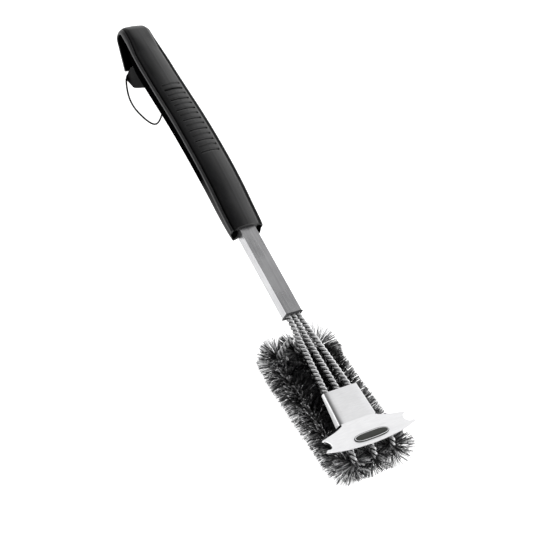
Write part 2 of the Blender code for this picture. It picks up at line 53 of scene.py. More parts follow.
# Materials
NOISE_RANGE = (0.3, 0.7)    # where most values of a noise lie
CREASE_RANGE = (0.25, 0.95)
STREAK_SCALE = 900.0
SMUDGE_SCALE = 55.0
STREAK_SHARE = 0.6
MOTTLE_SCALE = 70.0
SOOT_SCALE = 260.0
FULL_PAINTED_SHEEN = 0.4            # at this painted sheen and above the plastic keeps its whole colour; below it the colour is darkened as painted shade
PAINTED_SHADE_TONE = 0.1
WIRE_SHADES = ((0.86, 0.86, 0.87), (0.98, 0.98, 0.99))
BLACK = (0.0, 0.0, 0.0, 1.0)

# Twisted wires
STRAND_RADIUS = 1.28
TWIST_RADIUS = 1.36
TWIST_PITCH = 8.0
STRAND_STEP = 0.42
STRAND_SIDES = 12
CORE_RADIUS = 2.25
BEND_RADIUS = 7.0
BEND_ENTRY = (4.0, 0.4)
ENTRY_SHARE = 0.95
REAR_BEND_Y = 60.0
REAR_RUN = (6.0, 0.4)
RISER_TOP = (72.4, -11.0)
RISER_X = 8.9
RISER_CURVE = ((0.2, 0.02), (0.375, 0.10), (0.525, 0.24), (0.6875, 0.42), (1.0, 1.0))
SIDES = ("left", "middle", "right")

# Painted light and shade on the twisted wires, by which way the surface faces
WIRE_SHADE_FLOOR = 0.02
GROOVE_EDGE = -0.15
CROWN_EDGE = 0.6
CROWN_TONE = 0.9
LEFT_SHADE = 0.8
LEFT_EDGE = 0.25
RIGHT_EDGE = 0.7
SIDE_FADE = 0.5

# Bristles
BRISTLE_RADIUS = 0.22
BRISTLE_SIDES = 3
BRISTLE_LINE_STEP = 0.3
BRISTLES_PER_MM = 34.0
BRISTLE_PITCH = 11.5
BRISTLE_REACH = 16.4
BRISTLE_REACH_SPREAD = 0.04
BRISTLE_SHARES = np.array((0.0, 0.3, 0.58, 0.82, 1.0))
BRISTLE_FAN = math.radians(30.0)
BRISTLE_LEAN = 0.13
BRISTLE_BOW = 0.6
BRISTLE_SEED = 40
BRISTLE_ASIDE = (0.31, 0.23, 0.92)  # any direction that no bristle takes
ROLL_START_Y = -36.0
ROLL_FALL = -0.35       # slope of the wire where the bristles start
ROLL_RISE = 0.55        # slope of the wire where they end
RISER_LOW_Z = -20.0
ROLL_OVERRUN = 2.5
FRONT_CENTRE = (-42.5, -13.6)
FRONT_REACH = 16.2
SHORTEST_FRONT = 4.0
FRONT_RIGHT_REACH = 1.2
FRONT_RIGHT_START = -12.0
FRONT_RIGHT_FADE = 20.0

# Burst of bristles at the rear end of each roll
BURST_COUNT = 520
BURST_SPAN = 7.0
BURST_AXIS = (0.25, 0.1, 0.96)
BURST_LENGTH = 9.0
BURST_EDGE = 0.25
BURST_LEAN = 0.25
BURST_REACH = (1.16, 1.16, 1.45)  # left, middle, right

# Tufts and tones of the bristles, with painted shade inside the rolls and towards the roots
TUFT_STEP = 1.3
TUFT_TURN = math.radians(8.0)
TUFT_PULL = 0.5
TUFT_SHARE = 0.75
TONES = (0.02, 1.0)
TONE_EDGES = (0.5, 0.78)
INNER_SHADE = 0.04
SPECK_SHARE = 0.95
ROOT_SHADE = (0.0, 0.2, 0.75, 1.0, 1.0)
OUTWARD_EDGE = 0.2
OUTWARD_FADE = 0.5
FRONT_TONE = (8.0, 6.0)  # bristles in front are spared the painted shade: start behind the front bend's centre, and fade

# Room above the bristles
ROOF_LIMIT = -8.5
BLADE_LIMIT = -1.6
COVER_HALF = 24.0
COVER_FRONT = -47.0
COVER_FADE = 4.0
BEND_SOFTNESS = 3.0
FLOOR_GAP = 0.4

# Bracket and blade
SHEET = 0.8
FLANGE_BEND = 1.3
FLANGE_DEPTH = (4.0, 6.6)  # at the rear and at the blade
ROOF_HALF = (17.4, 19.2)   # at the rear and at the blade
ROOF_FALL = 8.0            # degrees the roof has turned down where the bend starts
ROOF_FALL_RADIUS = 48.0
BEND_START = 88.0          # degrees, just short of the end of the roof's own arc
BRACKET_STATIONS = 9
BRACKET_SHARP = 12.0
BRACKET_EDGE = 0.14
# Painted shade on the bracket's roof beside its left bend
BEND_SHADE_WIDTH = 8.0
BEND_SHADE_LEVELS = (  # share of the width in from the bend, darkness of the painted shade
    (0.0, 0.0), (0.06, 0.0), (0.08, 0.8), (0.24, 0.76), (0.36, 0.56), (0.48, 0.3), (0.64, 0.08), (1.0, 0.0),
)
BLADE_TILT = math.radians(15.0)
BLADE_THICK = 1.0
BLADE_OVERLAP = 0.05
BLADE_REAR_EDGE = ((17.2, 1.0), (18.4, 2.1), (25.2, 4.6), (34.5, 6.7), (42.6, 8.3))
BLADE_NOTCH = (42.2, 13.9, 4.3)
NOTCH_TURN = (-93.0, -298.0)
BLADE_FRONT_EDGE = ((46.8, 19.5), (38.0, 21.9), (29.0, 23.6), (14.0, 25.0), (0.0, 25.5))

# Badge: steps are (grown outwards, height above the blade)
BADGE_OUT = 18.2
BADGE_HALF = (17.4, 4.0)
BADGE_ROUNDING = (0.6, 0.8)
BADGE_POINTS = 96
BADGE_SHARP = 40.0
BADGE_BODY = ((0.0, 0.05), (0.0, 0.7), (-0.15, 0.85), (-0.45, 0.85), (-0.5, 0.7), (-2.2, 0.76))
BADGE_LINE = ((-0.5, 0.5), (-0.5, 0.88), (-0.6, 0.95), (-0.95, 0.95), (-1.05, 0.6))
BADGE_FIELD = ((-0.97, 0.6), (-0.97, 0.9), (-1.15, 0.97), (-2.4, 1.02))

# Handle arch: y, edge height, crown, lip depth, half width
HANDLE_SPAN = (
    (175.5, -1.0, 5.4, 7.6, 16.6),
    (182.0, -0.3, 5.6, 8.4, 17.0),
    (196.0, 1.2, 5.6, 9.4, 17.2),
    (212.0, 3.2, 5.6, 10.2, 17.3),
    (225.0, 4.3, 5.6, 10.7, 17.3),
    (240.0, 5.2, 5.6, 11.1, 17.3),
    (265.0, 5.8, 5.5, 11.4, 17.2),
    (290.0, 5.5, 5.5, 11.6, 17.0),
    (315.0, 4.2, 5.6, 11.7, 16.8),
    (338.0, 3.0, 5.7, 12.0, 16.6),
    (356.0, 2.5, 5.8, 12.0, 16.4),
    (369.0, 2.2, 5.8, 9.4, 15.7),
    (381.0, 1.9, 5.7, 4.4, 14.8),
)
HANDLE_STEP = 0.55
HANDLE_DENSE = 600
HANDLE_RAKE = 0.55
RAKE_LENGTH = 14.0
RAKE_TOP = 2.0
MERGE_START = 366.0
MERGE_LENGTH = 16.0
HANDLE_SHARP = 48.0

# Handle section
SHELL = 3.4
LIP_INSET = 4.2
LIP_INSETS = (3.0, 1.9, 1.45, 1.4, 0.3)  # in from the side, from the foot of the lip up to under the bead
FOOT_RISE = 0.3
FOOT_LIMITS = (3.6, 0.5)    # the foot's height: at most, and as a share of the lip
UNDER_LIMITS = (1.5, 0.4)   # the bead's underside below the edge: at most, and as a share of the lip
STEP_LIMITS = (0.5, 0.1)    # the step below that: at most, and as a share of the lip
RIM_PROFILE = (  # in from the side; height of the bead, of the hook's square shoulder, of its low underside
    (0.0, -0.5, -0.3, -0.3),
    (0.1, 0.5, 0.8, 0.5),
    (0.8, 1.15, 1.9, 1.15),
    (1.8, 1.15, 2.6, 1.65),
    (2.7, 0.6, 3.0, 2.0),
    (3.5, 0.85, 3.3, 2.3),
)
CROWN_PROFILE = (  # share of the half width; the same three heights as shares of the crown
    (0.68, 0.54, 0.86, 0.68),
    (0.52, 0.76, 0.94, 0.82),
    (0.26, 0.95, 0.98, 0.95),
    (0.0, 1.0, 1.0, 1.0),
)
OUTSIDE_POINTS = 84
INSIDE_POINTS = 26
INSIDE_CORNER = (1.4, 0.2)
INSIDE_FOOT = 0.9

# Seat of the shaft and pockets beside it
SEAT_END = 220.0
SEAT_FADE = 5.0
SEAT_HALF = 8.3
SEAT_TOP = -2.2
SEAT_FRONT = 90.3
SEAT_RISE = 0.0295
POCKET_X = (9.6, 15.3)
POCKET_Z = (-6.9, -0.6)
POCKET_DEPTH = 9.0
POCKET_LEAD = 12.0
POCKET_ROUNDING = (0.75, 0.75)
POCKET_POINTS = 40

# Hooked end
HOOK_CENTRE = (388.9, -4.2)
HOOK_RADIUS = 5.9
HOOK_TURN = math.radians(-153.0)
HOOK_STATIONS = 44
HOOK_LEG = 28.0
HOOK_LEG_STEP = 0.8
HOOK_CROWN = 4.2
HOOK_LIP = (4.0, 2.2)    # at the start of the bend and once it has eased
HOOK_NARROWING = 0.5
HOOK_EASE = 0.57         # share of the bend over which it eases
CURL_START = 1.1         # radians round the bend where the shoulders start to drop
CURL_LENGTH = 0.7

# Cross grooves of the grip
GROOVE_SPAN = (250.0, 325.0)
GROOVE_COUNT = 14
GROOVE_HALF_LENGTH = 8.6
GROOVE_HALF_WIDTH = 0.85
GROOVE_DEPTH = 1.3
GROOVE_WALL = (1.25, 0.75)
GROOVE_LOWEST = 0.5

# Painted sheen and shade of the handle: a painted highlight on top and on the bead, strongest right of the
# middle, painted shade on the walls and inside, with a little painted sheen on the walls towards the near end
TOP_LIMIT = -0.9
TOP_PAINTED_SHEEN = ((-0.86, 0.0), (-0.79, 0.06), (-0.55, 0.5), (-0.2, 0.85), (0.25, 0.8), (0.65, 0.5), (1.0, 0.36))
BEAD_PAINTED_SHEEN = 0.55
BEAD_WIDTH = 2.6
NEAR_PAINTED_SHEEN = 0.3
NEAR_END = (175.0, 230.0)

# Hang loop and lugs
LUG_CENTRE = (355.0, -16.0)
LUG_RADIUS = 9.4
LUG_NOSE_RADIUS = 2.9
LUG_SHOULDER = 28.0
LUG_HEEL = -140.0
LUG_HEEL_Z = -8.5
LUG_TOP_Y = (337.0, 361.0)
LUG_CHAMFER = 0.5
LUG_PAINTED_SHEENS = (0.06, 1.0)  # painted sheen on the faces, low with painted shade, and on the edge, a painted highlight
LUG_X = (10.3, 13.3)
LUG_TOP = 2.0
PIVOT = (362.0, -25.0)
PIVOT_HOLE_RADIUS = 1.3
PIVOT_HOLE_SIDES = 28
DRILL_REACH = 20.0
LUG_SHARP = 35.0
LOOP_RADIUS = 0.8
LOOP_SIDES = 14
LOOP_POINTS = 260
LOOP_SLOPE = math.radians(19.6)
LOOP_FOOT_X = 10.9
LOOP_CORNER_X = 14.8
LOOP_CORNER = ((1.3, 0.0, 0.0), (0.3, -0.4, -0.14), (0.0, -1.4, -0.5))
LOOP_SHAPE = (  # distance from the pivot, half width
    (4.0, 15.7), (11.0, 17.2), (19.0, 17.8), (27.0, 16.2),
    (34.0, 12.6), (40.0, 8.4), (44.3, 4.4), (46.4, 0.0),
)

# Floor, surround, lamps and camera, in metres and degrees
FLOOR_Z = -0.0465
FLOOR_HALF = 6.0
FLOOR_ROUGHNESS = 0.9
FLOOR_SPECULAR = 0.1
FLOOR_TONE = 0.55
FLOOR_GLOW = 0.85
HEIGHT_TONES = ((0.0, 1.3), (0.45, 1.15), (0.74, 0.5), (1.0, 0.08))
SIDEWAYS_TONES = ((0.0, 0.15), (0.4, 0.35), (0.62, 1.0), (1.0, 1.25))
SIDEWAYS_FROM = (0.25, 0.5)  # upward share of a direction where the sideways tones come in
LAMPS = (("overhead", (0.4, 0.4, 2.0), 3.0, 34.0), ("left_lamp", (-1.5, 0.0, 0.45), 1.2, 26.0))
LAMP_AIM = (0.0, 0.1, 0.0)
CAMERA_PLACE = (-0.69152, -0.29325, 0.90151)
CAMERA_AZIMUTH = -58.108
CAMERA_ELEVATION = 48.032
CAMERA_ROLL = 35.085
CAMERA_LENS = 98.94
CAMERA_SENSOR = 36.0
CAMERA_FAR = 20.0


# ---- paths and meshes

def box_mm(node):
    """Lowest and highest corner of a CAD node."""
    low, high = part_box(node)
    return np.array(low) / MM, np.array(high) / MM


def node_points(*nodes):
    """Vertices of CAD nodes."""
    parts = []
    for name in nodes:
        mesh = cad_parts[name].data
        flat = np.zeros(len(mesh.vertices) * 3)
        mesh.vertices.foreach_get("co", flat)
        parts.append(flat.reshape(-1, 3) / MM)
    return np.vstack(parts)


def soften(points, rounds):
    """Cut the corners of an open polyline, keeping its ends."""
    line = np.asarray(points, float)
    for _ in range(rounds):
        pair = np.stack([line[:-1] * 0.75 + line[1:] * 0.25, line[:-1] * 0.25 + line[1:] * 0.75], axis=1)
        line = np.vstack([line[:1], pair.reshape(-1, line.shape[1]), line[-1:]])
    return line


def reach_along(line):
    """Distance of each point along a polyline."""
    return np.concatenate([[0.0], np.cumsum(np.linalg.norm(np.diff(line, axis=0), axis=1))])


def at_reach(line, reach, wanted):
    """Points of a polyline at given distances."""
    return np.stack([np.interp(wanted, reach, line[:, k]) for k in range(line.shape[1])], axis=1)


def resample(points, count):
    """Even spacing along a polyline."""
    line = np.asarray(points, float)
    reach = reach_along(line)
    return at_reach(line, reach, np.linspace(0.0, reach[-1], count))


def unit(vectors):
    """Vectors scaled to length one."""
    return vectors / np.linalg.norm(vectors, axis=-1, keepdims=True)


def smooth_step(share):
    """Ease a share between 0 and 1 in and out."""
    return share * share * (3.0 - 2.0 * share)


def spline(rows, count):
    """Smooth run through rows of numbers (Catmull-Rom)."""
    rows = np.asarray(rows, float)
    padded = np.vstack([2 * rows[0] - rows[1], rows, 2 * rows[-1] - rows[-2]])
    at = np.linspace(0.0, len(rows) - 1 - 1e-9, count)
    k = at.astype(int)
    t = (at - k)[:, None]
    a, b, c, d = (padded[k + i] for i in range(4))
    curve = 2 * b + (c - a) * t + (2 * a - 5 * b + 4 * c - d) * t ** 2
    return 0.5 * (curve + (3 * b - a - 3 * c + d) * t ** 3)


def carried_frame(line):
    """Tangents and two cross directions, carried along without twisting."""
    tangent = unit(np.gradient(line, axis=0))
    side = np.zeros_like(line)
    guess = np.cross(tangent[0], (0.0, 0.0, 1.0))
    if np.linalg.norm(guess) < NEARLY_PARALLEL:
        guess = np.cross(tangent[0], (1.0, 0.0, 0.0))
    side[0] = unit(guess)
    for i in range(1, len(line)):
        side[i] = unit(side[i - 1] - tangent[i] * (side[i - 1] @ tangent[i]))
    return tangent, side, np.cross(tangent, side)


def arc(centre, radius, start, stop, steps):
    """Points of an arc given in degrees."""
    turn = np.radians(np.linspace(start, stop, steps + 1))
    return np.stack([centre[0] + radius * np.cos(turn), centre[1] + radius * np.sin(turn)], axis=1)


def rounded_box(centre, half, rounding, count):
    """Points round a box with full corners: the lower the rounding, the squarer they are."""
    turn = np.linspace(0.0, 2 * math.pi, count, endpoint=False)
    across = np.sign(np.cos(turn)) * np.abs(np.cos(turn)) ** rounding[0]
    up = np.sign(np.sin(turn)) * np.abs(np.sin(turn)) ** rounding[1]
    return centre[0] + half[0] * across, centre[1] + half[1] * up


def ring_faces(rings, count):
    """Quads between closed rings of equal length, with flat ends."""
    i = np.arange(rings - 1)[:, None] * count
    j = np.arange(count)[None, :]
    k = (j + 1) % count
    quads = np.stack([i + j, i + k, i + count + k, i + count + j], axis=-1).reshape(-1, 4).tolist()
    last = (rings - 1) * count
    return quads + [list(range(count))[::-1], list(range(last, last + count))]


def new_object(name, verts, faces):
    """Mesh object in the scene from points in millimetres."""
    mesh = bpy.data.meshes.new(name)
    mesh.from_pydata((np.asarray(verts, float).reshape(-1, 3) * MM).tolist(), [], faces)
    obj = bpy.data.objects.new(name, mesh)
    bpy.context.scene.collection.objects.link(obj)
    return obj


def shade(obj, sharp):
    """Smooth shading with creases sharper than an angle in degrees left sharp."""
    obj.data.shade_smooth()
    obj.data.set_sharp_from_angle(angle=math.radians(sharp))


def add_piece(name, verts, faces, material, body="brush", stands_for=(), sharp=35.0):
    """Visible piece riding on a body, in place of the CAD nodes it stands for."""
    obj = new_object(name, verts, faces)
    obj.data.validate()
    shade(obj, sharp)
    obj.data.materials.append(material)
    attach(obj, body)
    if stands_for:
        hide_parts(*stands_for)
    return obj


def add_layer(obj, name, values):
    """Number at every vertex that a material reads."""
    layer = obj.data.attributes.new(name, 'FLOAT', 'POINT')
    layer.data.foreach_set("value", np.asarray(values).ravel().astype(np.float32))


def tube(line, radius, sides, chamfer=0.3):
    """Round bar along a path, with slightly chamfered ends."""
    line = np.asarray(line, float)
    first = line[0] + unit(line[1] - line[0]) * chamfer
    last = line[-1] + unit(line[-2] - line[-1]) * chamfer
    line = np.vstack([line[:1], first, line[1:-1], last, line[-1:]])
    size = np.full(len(line), radius)
    size[[0, -1]] = radius * END_TAPER
    _, side, other = carried_frame(line)
    turn = np.arange(sides) * 2 * math.pi / sides
    around = np.cos(turn)[None, :, None] * side[:, None, :] + np.sin(turn)[None, :, None] * other[:, None, :]
    return line[:, None, :] + around * size[:, None, None], ring_faces(len(line), sides)


def round_edges(obj, width):
    """Soft edges on a piece with flat faces."""
    weld = obj.modifiers.new("weld", 'WELD')
    weld.merge_threshold = WELD_REACH
    bevel = obj.modifiers.new("edges", 'BEVEL')
    bevel.width = width * MM
    bevel.segments = 2
    bevel.limit_method = 'ANGLE'
    bevel.angle_limit = math.radians(35.0)
    bevel.harden_normals = True


def cut_or_join(obj, others, operation):
    """Exact boolean with helper objects, applied at once; the helpers are removed."""
    for other in others:
        step = obj.modifiers.new("boolean", 'BOOLEAN')
        step.operation = operation
        step.solver = 'EXACT'
        step.object = other
    graph = bpy.context.evaluated_depsgraph_get()
    mesh = bpy.data.meshes.new_from_object(obj.evaluated_get(graph))
    obj.modifiers.clear()
    obj.data = mesh
    for other in others:
        bpy.data.objects.remove(other, do_unlink=True)


# ---- shader parts

def add_node(tree, kind, inputs=None, **settings):
    """Shader node with its settings and input values."""
    node = tree.nodes.new(kind)
    for key, value in settings.items():
        setattr(node, key, value)
    for key, value in (inputs or {}).items():
        node.inputs[key].default_value = value
    return node


def feed(tree, part, socket):
    """Feed a socket from another socket or with a fixed value."""
    if isinstance(part, bpy.types.NodeSocket):
        tree.links.new(part, socket)
    else:
        socket.default_value = part


def mix(tree, kind, factor, first, second):
    """Mix of two colours."""
    node = add_node(tree, "ShaderNodeMix", data_type='RGBA', blend_type=kind)
    for name, part in (("Factor", factor), ("A", first), ("B", second)):
        feed(tree, part, node.inputs[name])
    return node.outputs["Result"]


def arithmetic(tree, operation, *parts):
    """Result of a math node."""
    node = add_node(tree, "ShaderNodeMath", operation=operation)
    for index, part in enumerate(parts):
        feed(tree, part, node.inputs[index])
    return node.outputs[0]


def remap(tree, value, source, target=(0.0, 1.0)):
    """Map one range to another, clamped."""
    limits = {"From Min": source[0], "From Max": source[1], "To Min": target[0], "To Max": target[1]}
    node = add_node(tree, "ShaderNodeMapRange", limits)
    tree.links.new(value, node.inputs["Value"])
    return node.outputs["Result"]


def spread(tree, noise, low, high):
    """Map a noise to a range."""
    return remap(tree, noise, NOISE_RANGE, (low, high))


def tint(tree, value, dark, light):
    """Colour between two shades."""
    return mix(tree, 'MIX', value, (*dark, 1.0), (*light, 1.0))


def grey_ramp(tree, value, stops, interpolation='LINEAR'):
    """Grey level from (place, level) stops."""
    node = add_node(tree, "ShaderNodeValToRGB")
    ramp = node.color_ramp
    ramp.interpolation = interpolation
    for index, (place, level) in enumerate(stops):
        stop = ramp.elements[index] if index < 2 else ramp.elements.new(place)
        stop.position = place
        stop.color = (level, level, level, 1.0)
    tree.links.new(value, node.inputs["Fac"])
    return node.outputs["Color"]


def layer_value(tree, name):
    """Number stored at the vertices under a name."""
    return add_node(tree, "ShaderNodeAttribute", attribute_name=name).outputs["Fac"]


def place_parts(tree, output):
    """X, Y and Z of a texture coordinate."""
    coords = add_node(tree, "ShaderNodeTexCoord")
    parts = add_node(tree, "ShaderNodeSeparateXYZ")
    tree.links.new(coords.outputs[output], parts.inputs["Vector"])
    return parts.outputs


def scaled_noise(tree, stretch, scale, detail):
    """Noise in object space, stretched along the axes."""
    coords = add_node(tree, "ShaderNodeTexCoord")
    mapping = add_node(tree, "ShaderNodeMapping", {"Scale": stretch})
    noise = add_node(tree, "ShaderNodeTexNoise", {"Scale": scale, "Detail": detail, "Roughness": 0.6})
    tree.links.new(coords.outputs["Object"], mapping.inputs["Vector"])
    tree.links.new(mapping.outputs["Vector"], noise.inputs["Vector"])
    return noise.outputs["Fac"]


def add_bump(tree, shader, value, strength, distance):
    """Fine relief."""
    bump = add_node(tree, "ShaderNodeBump", {"Strength": strength, "Distance": distance * MM})
    tree.links.new(value, bump.inputs["Height"])
    tree.links.new(bump.outputs["Normal"], shader.inputs["Normal"])


def paint_crease_shade(tree, colour, reach, floor):
    """Painted shade in the creases, from ambient occlusion."""
    node = add_node(tree, "ShaderNodeAmbientOcclusion", {"Distance": reach * MM}, samples=4)
    return mix(tree, 'MULTIPLY', 1.0, colour, remap(tree, node.outputs["AO"], CREASE_RANGE, (floor, 1.0)))


def paint_bend_shade(tree, colour):
    """Paint shade on the roof of the bracket beside its left bend, fading across the roof."""
    place = place_parts(tree, "Object")
    rear = box_mm("scraper_bracket")[1][1]
    slope = -(ROOF_HALF[1] - ROOF_HALF[0]) / (2 * rear)
    middle = (ROOF_HALF[1] + ROOF_HALF[0]) / 2 * MM
    edge = arithmetic(tree, 'MULTIPLY_ADD', place["Y"], slope, middle)
    inward = arithmetic(tree, 'ADD', place["X"], edge)
    darkness = grey_ramp(tree, remap(tree, inward, (0.0, BEND_SHADE_WIDTH * MM)), BEND_SHADE_LEVELS)
    on_roof = arithmetic(tree, 'GREATER_THAN', place["Y"], -rear * MM)
    return mix(tree, 'MIX', arithmetic(tree, 'MULTIPLY', darkness, on_roof), colour, BLACK)


def new_material(name):
    """Empty Principled material."""
    material = bpy.data.materials.new(name)
    material.use_nodes = True
    return material, material.node_tree, material.node_tree.nodes["Principled BSDF"]


# ---- materials

def steel(name, shades, roughness, grain, metallic=1.0, crease=None, painted_layer=None, painted_bend_shade=False):
    """Steel with streaks along its grain, smudges and worn places; painted light and shade where a layer
    says, painted shade in the creases and a painted shade band beside the bracket's left bend where asked.
    """
    material, tree, shader = new_material(name)
    shader.inputs["Metallic"].default_value = metallic
    streaks = scaled_noise(tree, grain, STREAK_SCALE, 6.0)
    smudge = scaled_noise(tree, (1.0, 1.0, 1.0), SMUDGE_SCALE, 4.0)
    smudged = arithmetic(tree, 'MULTIPLY', smudge, 1.0 - STREAK_SHARE)
    wear = arithmetic(tree, 'MULTIPLY_ADD', streaks, STREAK_SHARE, smudged)
    colour = tint(tree, spread(tree, wear, 0.0, 1.0), *shades)
    # painted shade in the creases
    if crease:
        colour = paint_crease_shade(tree, colour, *crease)
    # painted light and shade from a layer
    if painted_layer:
        colour = mix(tree, 'MULTIPLY', 1.0, colour, layer_value(tree, painted_layer))
    # painted shade beside the bracket's left bend
    if painted_bend_shade:
        colour = paint_bend_shade(tree, colour)
    tree.links.new(colour, shader.inputs["Base Color"])
    tree.links.new(spread(tree, smudge, *roughness), shader.inputs["Roughness"])
    add_bump(tree, shader, streaks, 0.3, 0.02)
    return material


def plastic(name, shades, roughness, grain_scale, relief, crease=None, sheen=None):
    """Moulded plastic with a fine grain and mottled tone, with painted sheen and shade set by a layer if one
    is named.
    """
    material, tree, shader = new_material(name)
    grain = scaled_noise(tree, (1.0, 1.0, 1.0), grain_scale, 3.0)
    mottle = scaled_noise(tree, (1.0, 0.35, 1.0), MOTTLE_SCALE, 5.0)
    colour = tint(tree, spread(tree, mottle, 0.0, 1.0), *shades)
    # painted shade in the creases
    if crease:
        colour = paint_crease_shade(tree, colour, *crease)
    # The layer sets the specular level as a painted sheen and darkens the colour where it is low as painted
    # shade
    if sheen:
        shine = layer_value(tree, sheen)
        tree.links.new(shine, shader.inputs["Specular IOR Level"])
        colour = mix(tree, 'MULTIPLY', 1.0, colour, remap(tree, shine, (0.0, FULL_PAINTED_SHEEN), (PAINTED_SHADE_TONE, 1.0)))
    tree.links.new(colour, shader.inputs["Base Color"])
    tree.links.new(spread(tree, mottle, *roughness), shader.inputs["Roughness"])
    add_bump(tree, shader, grain, 0.35, relief)
    return material


def bristle_material():
    """Fine steel wire whose tone differs from wire to wire; its tone layer also carries painted shade inside
    the rolls and towards the roots.
    """
    material, tree, shader = new_material("bristle_wire")
    shader.inputs["Metallic"].default_value = 0.6
    tone = layer_value(tree, "tone")
    soot = scaled_noise(tree, (1.0, 1.0, 1.0), SOOT_SCALE, 3.0)
    mixed = arithmetic(tree, 'MULTIPLY', tone, spread(tree, soot, 0.6, 1.0))
    colour = tint(tree, mixed, (0.012, 0.012, 0.013), (0.95, 0.95, 0.96))
    tree.links.new(colour, shader.inputs["Base Color"])
    tree.links.new(spread(tree, soot, 0.5, 0.26), shader.inputs["Roughness"])
    add_bump(tree, shader, soot, 0.2, 0.02)
    return material


SHEET_STEEL = steel("sheet_satin_steel", ((0.72, 0.72, 0.73), (0.84, 0.84, 0.85)), (0.34, 0.46),
                    (0.12, 1.0, 0.12), metallic=0.5, painted_bend_shade=True)
SHAFT_STEEL = steel("shaft_brushed_steel", ((0.40, 0.40, 0.41), (0.62, 0.62, 0.63)), (0.22, 0.36),
                    (1.0, 0.02, 1.0))
WIRE_STEEL = steel("wire_drawn_steel", WIRE_SHADES, (0.16, 0.3), (1.0, 0.3, 1.0), metallic=0.7,
                   crease=(1.1, 0.05))
TWIST_STEEL = steel("wire_twisted_steel", WIRE_SHADES, (0.16, 0.3), (1.0, 0.3, 1.0), metallic=0.7,
                    painted_layer="strand_light_and_shade")
DARK_STEEL = steel("loop_spring_steel", ((0.006, 0.006, 0.0065), (0.03, 0.03, 0.032)), (0.3, 0.45),
                   (1.0, 0.3, 1.0))
ZINC = steel("screw_zinc_plate", ((0.42, 0.42, 0.43), (0.66, 0.66, 0.68)), (0.25, 0.4), (0.6, 0.6, 0.6))
# The handle and lug plastics carry painted sheen and painted shade from their sheen layer
HANDLE_PLASTIC = plastic("handle_matte_black", ((0.003, 0.003, 0.0033), (0.008, 0.008, 0.0087)), (0.34, 0.48),
                         2600.0, 0.05, crease=(3.5, 0.15), sheen="sheen")
LUG_PLASTIC = plastic("lug_matte_black", ((0.003, 0.003, 0.0033), (0.008, 0.008, 0.0085)), (0.42, 0.58),
                      2600.0, 0.05, crease=(2.5, 0.3), sheen="sheen")
COLLAR_PLASTIC = plastic("collar_dark_plastic", ((0.010, 0.010, 0.011), (0.03, 0.03, 0.032)), (0.4, 0.6),
                         2600.0, 0.04)
ENAMEL = plastic("badge_dark_enamel", ((0.004, 0.005, 0.0035), (0.010, 0.012, 0.008)), (0.3, 0.42),
                 1500.0, 0.02)
BRISTLE_STEEL = bristle_material()


# ---- twisted wires

def rod_axis(name):
    """Axis of the twisted pair between the shaft and the blade, fitted to its two CAD strands."""
    points = node_points("rod_%s_a" % name, "rod_%s_b" % name)
    fold = box_mm("scraper_bracket")[1][1]
    axis = []
    for low, high in ((fold, points[:, 1].max()), (points[:, 1].min(), fold)):
        part = points[(points[:, 1] >= low) & (points[:, 1] <= high)]
        across = np.polyfit(part[:, 1], part[:, 0], 1)
        height = np.polyfit(part[:, 1], part[:, 2], 1)
        axis += [(np.polyval(across, y), y, np.polyval(height, y)) for y in (high, low)]
    return np.array([axis[0], (np.array(axis[1]) + np.array(axis[2])) / 2, axis[3]])


def core_line(index, name):
    """Axis of a roll's core: front bend, run under the head, rear bend and riser."""
    low, high = box_mm("core_" + name)
    x = (low[0] + CORE_RADIUS, 0.0, high[0] - CORE_RADIUS)[index]
    bend_y = low[1] + CORE_RADIUS + BEND_RADIUS
    bend_z = high[2] - CORE_RADIUS - BEND_RADIUS
    rear_z = low[2] + CORE_RADIUS
    line = [(x * ENTRY_SHARE, bend_y + BEND_ENTRY[0], bend_z + BEND_RADIUS - BEND_ENTRY[1])]
    line += [(x, y, z) for y, z in arc((bend_y, bend_z), BEND_RADIUS, 90.0, 270.0, 12)]
    line += [(x, REAR_BEND_Y - REAR_RUN[0], rear_z + REAR_RUN[1]), (x, REAR_BEND_Y, rear_z)]
    end_x = (index - 1) * RISER_X
    for run, climb in RISER_CURVE:
        y = REAR_BEND_Y + (RISER_TOP[0] - REAR_BEND_Y) * run
        line.append((x + (end_x - x) * climb, y, rear_z + (RISER_TOP[1] - rear_z) * climb))
    return np.array(line)


def wire_line(index, name):
    """Whole run of one twisted wire, from inside the shaft to the top of its riser."""
    return soften(np.vstack([rod_axis(name), core_line(index, name)]), 3)


def even_line(index, name, step):
    """The same run in even steps."""
    line = wire_line(index, name)
    reach = reach_along(line)
    return at_reach(line, reach, np.arange(0.0, reach[-1], step))


def strand_painted_light(verts, line, strand):
    """Painted light and shade on a strand: a painted highlight on its crown and right side, painted shade in
    the groove and on the left.
    """
    facing = unit(verts - verts.mean(axis=1)[:, None, :])
    away = unit(strand - line)
    away = np.vstack([away[:1], away[:1], away[1:-1], away[-1:], away[-1:]])[:, None, :]
    crown = ((facing * away).sum(axis=2) - GROOVE_EDGE) / (CROWN_EDGE - GROOVE_EDGE)
    crown = smooth_step(np.clip(crown, 0.0, 1.0)) * CROWN_TONE
    left = np.clip((-facing[..., 0] - LEFT_EDGE) / SIDE_FADE, 0.0, 1.0)
    right = np.clip((facing[..., 0] + away[..., 0] - RIGHT_EDGE) / SIDE_FADE, 0.0, 1.0)
    return WIRE_SHADE_FLOOR + (1.0 - WIRE_SHADE_FLOOR) * np.maximum(crown * (1.0 - LEFT_SHADE * left), right)


